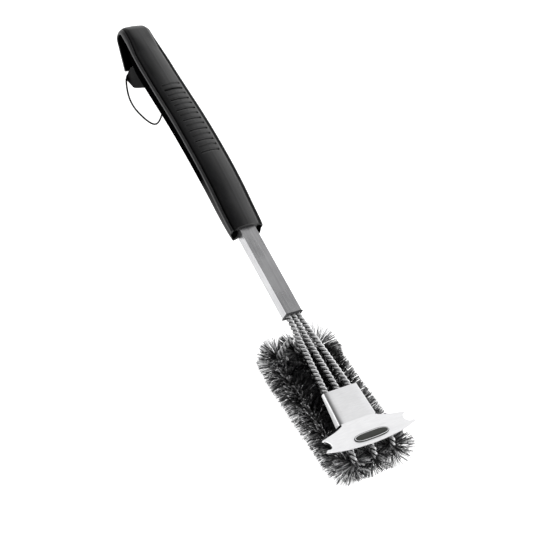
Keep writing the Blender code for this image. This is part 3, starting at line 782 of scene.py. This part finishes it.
def make_wire(index, name):
    """Two strands twisted round each other along the whole wire."""
    line = even_line(index, name, STRAND_STEP)
    _, side, other = carried_frame(line)
    twist = 2 * math.pi * reach_along(line) / TWIST_PITCH
    nodes = (["rod_%s_a" % name, "core_" + name], ["rod_%s_b" % name])
    for letter, phase, stands_for in zip("ab", (0.0, math.pi), nodes):
        turn = (phase - twist)[:, None]
        strand = line + TWIST_RADIUS * (np.cos(turn) * side + np.sin(turn) * other)
        verts, faces = tube(strand, STRAND_RADIUS, STRAND_SIDES)
        wire = add_piece("wire_%s_%s" % (name, letter), verts, faces, TWIST_STEEL, stands_for=stands_for)
        # painted highlight and painted shade on the strand, read by the twisted wire steel
        add_layer(wire, "strand_light_and_shade", strand_painted_light(verts, line, strand))


# ---- bristles

def roll_span(line, reach):
    """Stretch of a wire that carries bristles, as distances along it."""
    slope = unit(np.gradient(line, axis=0))[:, 2]
    y, z = line[:, 1], line[:, 2]
    turning = np.nonzero((y < ROLL_START_Y) & (slope < ROLL_FALL))[0][0]
    rising = np.nonzero((y > REAR_BEND_Y) & (slope > ROLL_RISE) & (z < RISER_LOW_Z))[0][0]
    return reach[turning], reach[rising] + ROLL_OVERRUN


def bristle_places(start, stop, rng):
    """Distances of the bristles along the wire, closer together in the burst at the rear end."""
    along_roll = rng.uniform(start, stop, int((stop - start) * BRISTLES_PER_MM))
    in_burst = rng.uniform(stop - BURST_SPAN, stop, BURST_COUNT)
    return np.sort(np.concatenate([along_roll, in_burst]))


def bristle_angles(at, burst, rng):
    """Turn of each bristle about the wire: in two opposite fans, and all round in the burst."""
    angle = 2 * math.pi * at / BRISTLE_PITCH + math.pi * rng.integers(0, 2, len(at))
    angle = angle + rng.normal(0.0, BRISTLE_FAN, len(at))
    return np.where(burst > BURST_EDGE, rng.uniform(0.0, 2 * math.pi, len(at)), angle)


def bristle_headings(angle, along, side, burst, rng):
    """Direction of each bristle, leaning along the wire at random and outwards in the burst."""
    along = unit(along * (1.0 - burst[:, None]) + np.array(BURST_AXIS) * burst[:, None])
    side = unit(side - along * (side * along).sum(axis=1, keepdims=True))
    lean = rng.normal(0.0, BRISTLE_LEAN, len(angle)) + BURST_LEAN * burst
    around = np.cos(angle)[:, None] * side + np.sin(angle)[:, None] * np.cross(along, side)
    return unit(around + lean[:, None] * along)


def front_limit(base, heading, length):
    """Shorten the wires in front so that their tips keep to the round of the front bend."""
    offset = base[:, 1:] - np.array(FRONT_CENTRE)
    slope = heading[:, 1:]
    a = np.maximum((slope ** 2).sum(axis=1), 1e-6)
    b = (offset * slope).sum(axis=1)
    c = (offset ** 2).sum(axis=1) - FRONT_REACH ** 2
    limit = (-b + np.sqrt(np.maximum(b * b - a * c, 0.0))) / a
    in_front = base[:, 1] + heading[:, 1] * length < FRONT_CENTRE[0]
    return np.where(in_front, np.minimum(length, np.maximum(limit, SHORTEST_FRONT)), length)


def bristle_lengths(index, base, heading, burst, rng):
    """Length of each bristle: longer in the burst and at the front of the right roll."""
    length = BRISTLE_REACH * (1.0 + rng.normal(0.0, BRISTLE_REACH_SPREAD, len(base)))
    length = length * (1.0 + (BURST_REACH[index] - 1.0) * burst)
    if index == 2:
        near_front = np.clip((FRONT_RIGHT_START - base[:, 1]) / FRONT_RIGHT_FADE, 0.0, 1.0)
        near_front = near_front * np.clip(heading[:, 0] * 2.0, 0.0, 1.0)
        length = length * (1.0 + (FRONT_RIGHT_REACH - 1.0) * near_front)
    return front_limit(base, heading, length)


def tuft_numbers(at, angle):
    """Number of the tuft that each bristle belongs to."""
    keys = np.stack([np.floor(at / TUFT_STEP), np.floor(angle / TUFT_TURN)], axis=1)
    return np.unique(keys, axis=0, return_inverse=True)[1].ravel()


def gather_tufts(tips, tuft):
    """Pull tips towards the middle of their tuft."""
    count = np.bincount(tuft)[:, None]
    middle = np.stack([np.bincount(tuft, tips[:, k]) for k in range(3)], axis=1) / count
    return tips + (middle[tuft] - tips) * TUFT_PULL


def bowed_lines(base, tips, heading, rng):
    """Points along each bristle, slightly bowed at random."""
    bow = np.cross(heading, rng.normal(0.0, 1.0, (len(base), 3))) * BRISTLE_BOW
    share = BRISTLE_SHARES[None, :, None]
    straight = base[:, None, :] * (1.0 - share) + tips[:, None, :] * share
    return straight + bow[:, None, :] * (share - share ** 2) * 2.0


def outward_share(index, heading):
    """How far the bristles of an outer roll point away from the brush's middle."""
    away = (-heading[:, 0], np.zeros(len(heading)), heading[:, 0])[index]
    return np.clip((away - OUTWARD_EDGE) / OUTWARD_FADE, 0.0, 1.0)


def bristle_tones(index, base, heading, burst, tuft, rng):
    """Tone of each bristle: mixed at the open sides and ends; inside, painted shade makes it nearly black,
    with a few tufts spared as specks.
    """
    own = rng.uniform(0.0, 1.0, tuft.max() + 1)[tuft]
    tone = own * TUFT_SHARE + rng.uniform(0.0, 1.0, len(tuft)) * (1.0 - TUFT_SHARE)
    tone = np.clip((tone - TONE_EDGES[0]) / (TONE_EDGES[1] - TONE_EDGES[0]), 0.0, 1.0)
    tone = TONES[0] + (TONES[1] - TONES[0]) * tone
    # Painted shade on bristles facing inwards; those in front, pointing outwards or in the burst are spared
    in_front = np.clip((FRONT_CENTRE[0] + FRONT_TONE[0] - base[:, 1]) / FRONT_TONE[1], 0.0, 1.0)
    open_share = np.maximum(np.maximum(outward_share(index, heading), in_front), burst)
    open_share = np.where(own > SPECK_SHARE, 1.0, open_share)
    return tone * (INNER_SHADE + (1.0 - INNER_SHADE) * open_share)


def keep_clear(points):
    """Bend wires that would run into the bracket, the wires or the blade above them, or the floor."""
    inside = np.clip((COVER_HALF + COVER_FADE - np.abs(points[..., 0])) / COVER_FADE, 0.0, 1.0)
    inside *= np.clip((points[..., 1] - COVER_FRONT) / COVER_FADE, 0.0, 1.0)
    soft_start = BLADE_LIMIT + (ROOF_LIMIT - BLADE_LIMIT) * inside - BEND_SOFTNESS
    over = points[..., 2] - soft_start
    squeezed = soft_start + BEND_SOFTNESS * (1.0 - np.exp(-np.maximum(over, 0.0) / BEND_SOFTNESS))
    bent = points.copy()
    bent[..., 2] = np.where(over > 0.0, squeezed, points[..., 2])
    bent[..., 2] = np.maximum(bent[..., 2], FLOOR_Z / MM + FLOOR_GAP)
    return bent


def bristle_points(index, name, rng):
    """Points along every bristle of a roll, and its tone."""
    line = even_line(index, name, BRISTLE_LINE_STEP)
    reach = reach_along(line)
    tangent, side, _ = carried_frame(line)
    start, stop = roll_span(line, reach)
    at = bristle_places(start, stop, rng)
    base, along, side = (at_reach(part, reach, at) for part in (line, tangent, side))
    burst = np.clip(1.0 - (stop - at) / BURST_LENGTH, 0.0, 1.0)
    angle = bristle_angles(at, burst, rng)
    heading = bristle_headings(angle, along, side, burst, rng)
    length = bristle_lengths(index, base, heading, burst, rng)
    tuft = tuft_numbers(at, angle)
    tips = gather_tufts(base + heading * length[:, None], tuft)
    points = bowed_lines(base, tips, heading, rng)
    return keep_clear(points), bristle_tones(index, base, heading, burst, tuft, rng)


def tube_bundle(points):
    """Thin wires along many short paths at once."""
    count, rings = points.shape[:2]
    heading = unit(points[:, -1] - points[:, 0])
    first = unit(np.cross(heading, BRISTLE_ASIDE))
    second = np.cross(heading, first)
    turn = np.arange(BRISTLE_SIDES) * 2 * math.pi / BRISTLE_SIDES
    ring = np.cos(turn)[None, :, None] * first[:, None, :] + np.sin(turn)[None, :, None] * second[:, None, :]
    verts = points[:, :, None, :] + ring[:, None, :, :] * BRISTLE_RADIUS
    one_wire = ring_faces(rings, BRISTLE_SIDES)
    offset = (np.arange(count) * rings * BRISTLE_SIDES)[:, None, None]
    quads = (np.array(one_wire[:-2])[None] + offset).reshape(-1, 4).tolist()
    ends = (np.array(one_wire[-2:])[None] + offset).reshape(-1, BRISTLE_SIDES).tolist()
    return verts, quads + ends


def make_bristles(index, name):
    """One roll of steel bristles, with painted shade towards their roots."""
    rng = np.random.default_rng(BRISTLE_SEED + index)
    points, tone = bristle_points(index, name, rng)
    verts, faces = tube_bundle(points)
    roll = add_piece("bristles_wire_" + name, verts, faces, BRISTLE_STEEL, stands_for=["bristles_" + name],
                     sharp=180.0)
    # painted shade towards the roots
    shaded = tone[:, None] * np.array(ROOT_SHADE)[None, :]
    add_layer(roll, "tone", np.repeat(shaded.ravel(), BRISTLE_SIDES))


# ---- bracket, blade and badge

def channel_ring(y, half, depth):
    """Section of the folded channel at one station."""
    fall = math.radians(ROOF_FALL)
    start = half - FLANGE_BEND * (1.0 - math.sin(fall)) - ROOF_FALL_RADIUS * math.sin(fall)
    wide = (start, -ROOF_FALL_RADIUS)
    drop = (ROOF_FALL_RADIUS - FLANGE_BEND) * (1.0 - math.cos(fall))
    centre = (half - FLANGE_BEND, -FLANGE_BEND - drop)
    turned = 90.0 - ROOF_FALL
    bend_start = BEND_START - ROOF_FALL
    outer = np.vstack([
        arc(wide, ROOF_FALL_RADIUS, 90.0, turned, 8),
        arc(centre, FLANGE_BEND, bend_start, 0.0, 10),
        [(half, -depth)],
    ])
    inner = np.vstack([
        [(half - SHEET, -depth)],
        arc(centre, FLANGE_BEND - SHEET, 0.0, bend_start, 10),
        arc(wide, ROOF_FALL_RADIUS - SHEET, turned, 90.0, 8),
    ])
    section = np.vstack([outer[::-1] * MIRROR, outer, inner, inner[::-1] * MIRROR])
    return [(u, y, v) for u, v in section]


def blade_outline():
    """Blade outline, half width against distance from the fold."""
    x, out, radius = BLADE_NOTCH
    notch = arc((x, out), radius, *NOTCH_TURN, 36)
    neck = [(BLADE_REAR_EDGE[0][0], -BLADE_OVERLAP)]
    half = np.vstack([neck, soften(BLADE_REAR_EDGE, 2), notch, soften(BLADE_FRONT_EDGE, 2)])
    return np.vstack([half, half[::-1][1:] * MIRROR])


def on_blade(u, v, w):
    """Point on the tilted blade: u across, v out from the fold, w above its top face."""
    fold = box_mm("scraper_bracket")[1][1]
    y = -fold - v * math.cos(BLADE_TILT) + w * math.sin(BLADE_TILT)
    return (u, y, v * math.sin(BLADE_TILT) + w * math.cos(BLADE_TILT))


def make_bracket():
    """Folded sheet: channel over the wires and the notched blade in front."""
    rear = box_mm("scraper_bracket")[1][1]
    rings = []
    for share in np.linspace(0.0, 1.0, BRACKET_STATIONS):
        half = ROOF_HALF[0] + (ROOF_HALF[1] - ROOF_HALF[0]) * share
        depth = FLANGE_DEPTH[0] + (FLANGE_DEPTH[1] - FLANGE_DEPTH[0]) * share
        rings.append(channel_ring(rear - 2 * rear * share, half, depth))
    bracket = add_piece("scraper_bracket_sheet", rings, ring_faces(len(rings), len(rings[0])), SHEET_STEEL,
                        stands_for=["scraper_bracket"])
    outline = blade_outline()
    layers = [[on_blade(u, v, w) for u, v in outline] for w in (-BLADE_THICK, 0.0)]
    cut_or_join(bracket, [new_object("blade_form", layers, ring_faces(2, len(outline)))], 'UNION')
    bracket.data.materials.clear()
    bracket.data.materials.append(SHEET_STEEL)
    shade(bracket, BRACKET_SHARP)
    round_edges(bracket, BRACKET_EDGE)


def badge_layer(name, steps, material, stands_for=()):
    """One layer of the badge, stepping in and up from its edge."""
    rings = []
    for grow, height in steps:
        half = (BADGE_HALF[0] + grow, BADGE_HALF[1] + grow)
        u, v = rounded_box((0.0, BADGE_OUT), half, BADGE_ROUNDING, BADGE_POINTS)
        rings.append([on_blade(a, b, height) for a, b in zip(u, v)])
    add_piece(name, rings, ring_faces(len(rings), BADGE_POINTS), material, stands_for=stands_for,
              sharp=BADGE_SHARP)


def make_badge():
    """Blank dark plate with a thin pale line set in from its edge."""
    badge_layer("badge_body", BADGE_BODY, ENAMEL, stands_for=["badge_plate"])
    badge_layer("badge_rim", BADGE_LINE, SHEET_STEEL)
    badge_layer("badge_field", BADGE_FIELD, ENAMEL)


# ---- handle

def lip_points(lip, half):
    """Outside of the lip from its foot up to the underside of the bead."""
    foot = min(FOOT_LIMITS[0], FOOT_LIMITS[1] * lip)
    under = min(UNDER_LIMITS[0], UNDER_LIMITS[1] * lip)
    step = min(STEP_LIMITS[0], STEP_LIMITS[1] * lip)
    heights = (-lip, -lip + foot * FOOT_RISE, -lip + foot, -under - step, -under)
    return [(half - LIP_INSET, -lip)] + [(half - inset, z) for inset, z in zip(LIP_INSETS, heights)]


def outer_half(crown, lip, half, merge, curl):
    """Half section from the foot of the lip over the bead to the crown, as (x, height above the edge)."""
    def height(bead, square, low):
        return bead * (1.0 - merge) + (square * (1.0 - curl) + low * curl) * merge

    points = lip_points(lip, half)
    points += [(half - inset, height(*heights)) for inset, *heights in RIM_PROFILE]
    points += [(half * share, crown * height(*heights)) for share, *heights in CROWN_PROFILE]
    return resample(soften(points, 2), OUTSIDE_POINTS)


def inner_half(top, half, foot):
    """Inside of the channel from its middle to the lip, as (x, height above the edge)."""
    corner = min(INSIDE_CORNER[0], half * INSIDE_CORNER[1])
    points = [(0.0, top), (half - corner, top), (half, top - corner), (half, foot)]
    return resample(points, INSIDE_POINTS)


def station_section(row):
    """Closed section at one station; its bead melts into the crown towards the hook."""
    y, _, turn, crown, lip, half, top, inner = row
    merge = min(1.0, max(0.0, (y - MERGE_START) / MERGE_LENGTH)) if turn == 0.0 else 1.0
    curl = min(1.0, max(0.0, -turn - CURL_START) / CURL_LENGTH)
    outside = outer_half(crown, lip, half, merge, curl)
    inside = inner_half(top, inner, -lip + INSIDE_FOOT)
    return np.vstack([outside * MIRROR, outside[::-1][1:], inside[::-1], (inside * MIRROR)[1:]])


def groove_depth(x, y):
    """Depth of the plain cross grooves of the grip at points of the top face."""
    depth = np.zeros_like(x)
    for centre in np.linspace(*GROOVE_SPAN, GROOVE_COUNT):
        beyond = np.maximum(np.abs(x) - GROOVE_HALF_LENGTH, 0.0)
        away = np.hypot(beyond, y - centre) / GROOVE_HALF_WIDTH
        wall = np.clip((GROOVE_WALL[0] - away) / GROOVE_WALL[1], 0.0, 1.0)
        depth = np.maximum(depth, smooth_step(wall))
    return depth * GROOVE_DEPTH


def span_stations():
    """Stations along the arch: y, edge, turn, crown, lip, half, inner top, inner half."""
    dense = spline(HANDLE_SPAN, HANDLE_DENSE)
    y = np.arange(HANDLE_SPAN[0][0], HANDLE_SPAN[-1][0], HANDLE_STEP)
    edge, crown, lip, half = (np.interp(y, dense[:, 0], dense[:, k]) for k in range(1, 5))
    open_share = smooth_step(np.clip((y - SEAT_END) / SEAT_FADE, 0.0, 1.0))
    seat = SEAT_TOP + SEAT_RISE * (y - SEAT_FRONT)
    top = (seat - edge) * (1 - open_share) + (crown - SHELL) * open_share
    inner = SEAT_HALF * (1 - open_share) + (half - LIP_INSET) * open_share
    return np.stack([y, edge, np.zeros_like(y), crown, lip, half, top, inner], axis=1)


def hook_stations():
    """Stations round the hook and back along its lower leg."""
    rows = []
    _, _, crown_start, _, half_start = HANDLE_SPAN[-1]
    for share in np.linspace(0.0, 1.0, HOOK_STATIONS)[1:]:
        turn = HOOK_TURN * share
        y = HOOK_CENTRE[0] - HOOK_RADIUS * math.sin(turn)
        z = HOOK_CENTRE[1] + HOOK_RADIUS * math.cos(turn)
        ease = min(1.0, share / HOOK_EASE)
        crown = crown_start + (HOOK_CROWN - crown_start) * ease
        half = half_start - HOOK_NARROWING * ease
        lip = HOOK_LIP[0] + (HOOK_LIP[1] - HOOK_LIP[0]) * ease
        rows.append((y, z, turn, crown, lip, half, crown - SHELL, half - LIP_INSET))
    y, z, turn, *shape = rows[-1]
    for along in np.arange(HOOK_LEG_STEP, HOOK_LEG, HOOK_LEG_STEP):
        rows.append((y + along * math.cos(turn), z + along * math.sin(turn), turn, *shape))
    return np.array(rows)


def station_ring(row):
    """World points of one station's section; the near end of the handle is raked."""
    y, edge, turn, _, _, _, top, _ = row
    section = station_section(row)
    x, v = section[:, 0], section[:, 1]
    if turn == 0.0:
        v = v - groove_depth(x, y) * (v > top + GROOVE_LOWEST) * (v > GROOVE_LOWEST)
        rake = HANDLE_RAKE * max(0.0, 1.0 - (y - HANDLE_SPAN[0][0]) / RAKE_LENGTH)
        return np.stack([x, y - rake * np.maximum(0.0, RAKE_TOP - v), edge + v], axis=1)
    return np.stack([x, y - v * math.sin(turn), edge + v * math.cos(turn)], axis=1)


def station_painted_sheen(row):
    """Painted sheen and shade at each point of a station: more on top and on the bead than on the walls and
    inside, where the colour is darkened as painted shade.
    """
    section = station_section(row)
    half = row[5]
    on_top = (np.arange(len(section)) < 2 * OUTSIDE_POINTS - 1) & (section[:, 1] > TOP_LIMIT)
    on_bead = on_top & (np.abs(section[:, 0]) > half - BEAD_WIDTH)
    near_end = min(1.0, max(0.0, (NEAR_END[1] - row[0]) / (NEAR_END[1] - NEAR_END[0])))
    worn = np.interp(section[:, 0] / half, *np.transpose(TOP_PAINTED_SHEEN))
    return np.where(on_bead, BEAD_PAINTED_SHEEN, np.where(on_top, worn, NEAR_PAINTED_SHEEN * near_end))


def pocket_form(side):
    """Rounded recess in the near end of the handle, beside the shaft."""
    centre = (sum(POCKET_X) / 2, sum(POCKET_Z) / 2)
    half = ((POCKET_X[1] - POCKET_X[0]) / 2, (POCKET_Z[1] - POCKET_Z[0]) / 2)
    x, z = rounded_box(centre, half, POCKET_ROUNDING, POCKET_POINTS)
    front = HANDLE_SPAN[0][0]
    rings = [[(side * a, y, b) for a, b in zip(x, z)] for y in (front - POCKET_LEAD, front + POCKET_DEPTH)]
    return new_object("pocket_form", rings, ring_faces(2, POCKET_POINTS))


def make_handle():
    """Moulded channel handle with bead edges, grip grooves and a hooked end."""
    rows = np.vstack([span_stations(), hook_stations()])
    rings = np.array([station_ring(row) for row in rows])
    handle = add_piece("handle_moulding", rings, ring_faces(len(rings), rings.shape[1]), HANDLE_PLASTIC,
                       stands_for=["handle_shell"], sharp=HANDLE_SHARP)
    # painted sheen and painted shade of the handle
    add_layer(handle, "sheen", [station_painted_sheen(row) for row in rows])
    cut_or_join(handle, [pocket_form(side) for side in (-1, 1)], 'DIFFERENCE')
    shade(handle, HANDLE_SHARP)


def lug_outline():
    """Side view of a lug: round body, small nose round the loop's foot, top buried in the handle."""
    body = Vector(LUG_CENTRE)
    nose = Vector(PIVOT)
    lean = math.degrees(math.atan2(nose.y - body.y, nose.x - body.x))
    open_by = math.degrees(math.acos((LUG_RADIUS - LUG_NOSE_RADIUS) / (nose - body).length))
    return np.vstack([
        arc(nose, LUG_NOSE_RADIUS, lean - open_by, lean + open_by, 18),
        arc(body, LUG_RADIUS, lean + open_by, LUG_SHOULDER, 8),
        [(LUG_TOP_Y[1], LUG_TOP), (LUG_TOP_Y[0], LUG_TOP), (LUG_TOP_Y[0], LUG_HEEL_Z)],
        arc(body, LUG_RADIUS, LUG_HEEL, lean - open_by, 12)[:-1],
    ])


def make_lugs():
    """Two plates under the handle that carry the loop, with painted shade on their faces and a painted
    highlight on their edges.
    """
    outline = lug_outline()
    middle = np.array(LUG_CENTRE)
    inset = middle + (outline - middle) * (1.0 - LUG_CHAMFER / LUG_RADIUS)
    steps = (
        (LUG_X[0], inset, LUG_PAINTED_SHEENS[0]),
        (LUG_X[0] + LUG_CHAMFER, outline, LUG_PAINTED_SHEENS[1]),
        (LUG_X[1] - LUG_CHAMFER, outline, LUG_PAINTED_SHEENS[1]),
        (LUG_X[1], inset, LUG_PAINTED_SHEENS[0]),
    )
    for side, name in ((-1, "left"), (1, "right")):
        layers = [[(side * x, y, z) for y, z in line] for x, line, _ in steps]
        lug = add_piece("loop_lug_" + name, layers, ring_faces(len(steps), len(outline)), LUG_PLASTIC)
        # painted shade on the faces, painted highlight on the edges
        add_layer(lug, "sheen", np.repeat([sheen for _, _, sheen in steps], len(outline)))
        drill = tube([(x, *PIVOT) for x in (-DRILL_REACH, DRILL_REACH)], PIVOT_HOLE_RADIUS, PIVOT_HOLE_SIDES)
        cut_or_join(lug, [new_object("pivot_drill", *drill)], 'DIFFERENCE')
        shade(lug, LUG_SHARP)


def make_loop():
    """Sprung wire loop with inturned feet, on the loop body."""
    y, z = PIVOT
    right = [(LOOP_FOOT_X, y, z)]
    right += [(LOOP_CORNER_X - a, y + b, z + c) for a, b, c in LOOP_CORNER]
    right += [(w, y - r * math.cos(LOOP_SLOPE), z - r * math.sin(LOOP_SLOPE)) for r, w in LOOP_SHAPE]
    left = [(-a, b, c) for a, b, c in reversed(right[:-1])]
    line = resample(soften(right + left, 3), LOOP_POINTS)
    verts, faces = tube(line, LOOP_RADIUS, LOOP_SIDES)
    add_piece("hang_loop_wire", verts, faces, DARK_STEEL, body="loop", stands_for=["hang_loop"])


# ---- pieces kept from the CAD

def dress_nodes():
    """Materials and soft edges for the shaft, collar, clamp, tie bar and screws."""
    finishes = (
        ("shaft_tube", SHAFT_STEEL, 0.22),
        ("shaft_collar", COLLAR_PLASTIC, 0.2),
        ("clamp_plate", SHAFT_STEEL, 0.2),
        ("tie_bar", WIRE_STEEL, 0.2),
        ("handle_screw_front", ZINC, 0.15),
        ("handle_screw_rear", ZINC, 0.15),
    )
    for name, material, edge in finishes:
        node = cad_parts[name]
        node.data.materials.clear()
        node.data.materials.append(material)
        round_edges(node, edge)


# ---- stage

def make_floor():
    """Pale matte floor."""
    half = FLOOR_HALF / MM
    z = FLOOR_Z / MM
    corners = [(-half, -half, z), (half, -half, z), (half, half, z), (-half, half, z)]
    floor = new_object("floor", corners, [(0, 1, 2, 3)])
    material, _, shader = new_material("floor_paper")
    shader.inputs["Base Color"].default_value = (FLOOR_TONE, FLOOR_TONE, FLOOR_TONE, 1.0)
    shader.inputs["Roughness"].default_value = FLOOR_ROUGHNESS
    shader.inputs["Specular IOR Level"].default_value = FLOOR_SPECULAR
    shader.inputs["Emission Color"].default_value = (1.0, 1.0, 1.0, 1.0)
    shader.inputs["Emission Strength"].default_value = FLOOR_GLOW
    floor.data.materials.append(material)


def make_world():
    """Studio surround: white round the horizon, darker overhead and on the camera's side."""
    world = bpy.data.worlds.new("studio")
    bpy.context.scene.world = world
    world.use_nodes = True
    tree = world.node_tree
    direction = place_parts(tree, "Generated")
    height = grey_ramp(tree, direction["Z"], HEIGHT_TONES, 'EASE')
    sideways = grey_ramp(tree, remap(tree, direction["X"], (-1.0, 1.0)), SIDEWAYS_TONES, 'EASE')
    upward = remap(tree, direction["Z"], SIDEWAYS_FROM)
    colour = mix(tree, 'MULTIPLY', upward, height, sideways)
    tree.links.new(colour, tree.nodes["Background"].inputs["Color"])


def make_lights():
    """Broad soft lamps from above and from the left that don't show in the metal."""
    for name, place, size, energy in LAMPS:
        lamp = bpy.data.lights.new(name, 'AREA')
        lamp.size = size
        lamp.energy = energy
        obj = bpy.data.objects.new(name, lamp)
        obj.location = place
        obj.rotation_mode = 'QUATERNION'
        obj.rotation_quaternion = (Vector(LAMP_AIM) - Vector(place)).to_track_quat('-Z', 'Y')
        obj.visible_glossy = False
        bpy.context.scene.collection.objects.link(obj)


def make_camera():
    """Camera looking down on the brush from beyond its left side, rolled so that the brush stands upright."""
    data = bpy.data.cameras.new("camera")
    data.sensor_fit = 'HORIZONTAL'
    data.sensor_width = CAMERA_SENSOR
    data.lens = CAMERA_LENS
    data.clip_end = CAMERA_FAR
    camera = bpy.data.objects.new("camera", data)
    azimuth = math.radians(CAMERA_AZIMUTH)
    elevation = math.radians(CAMERA_ELEVATION)
    level = math.cos(elevation)
    look = Vector((-math.sin(azimuth) * level, math.cos(azimuth) * level, -math.sin(elevation)))
    roll = Quaternion((0, 0, 1), math.radians(CAMERA_ROLL))
    camera.rotation_mode = 'QUATERNION'
    camera.location = CAMERA_PLACE
    camera.rotation_quaternion = look.to_track_quat('-Z', 'Y') @ roll
    bpy.context.scene.collection.objects.link(camera)
    bpy.context.scene.camera = camera


for side_index, side_name in enumerate(SIDES):
    make_wire(side_index, side_name)
    make_bristles(side_index, side_name)
make_bracket()
make_badge()
make_handle()
make_lugs()
make_loop()
dress_nodes()
make_floor()
make_world()
make_lights()
make_camera()
bpy.context.scene.view_settings.view_transform = 'Standard'
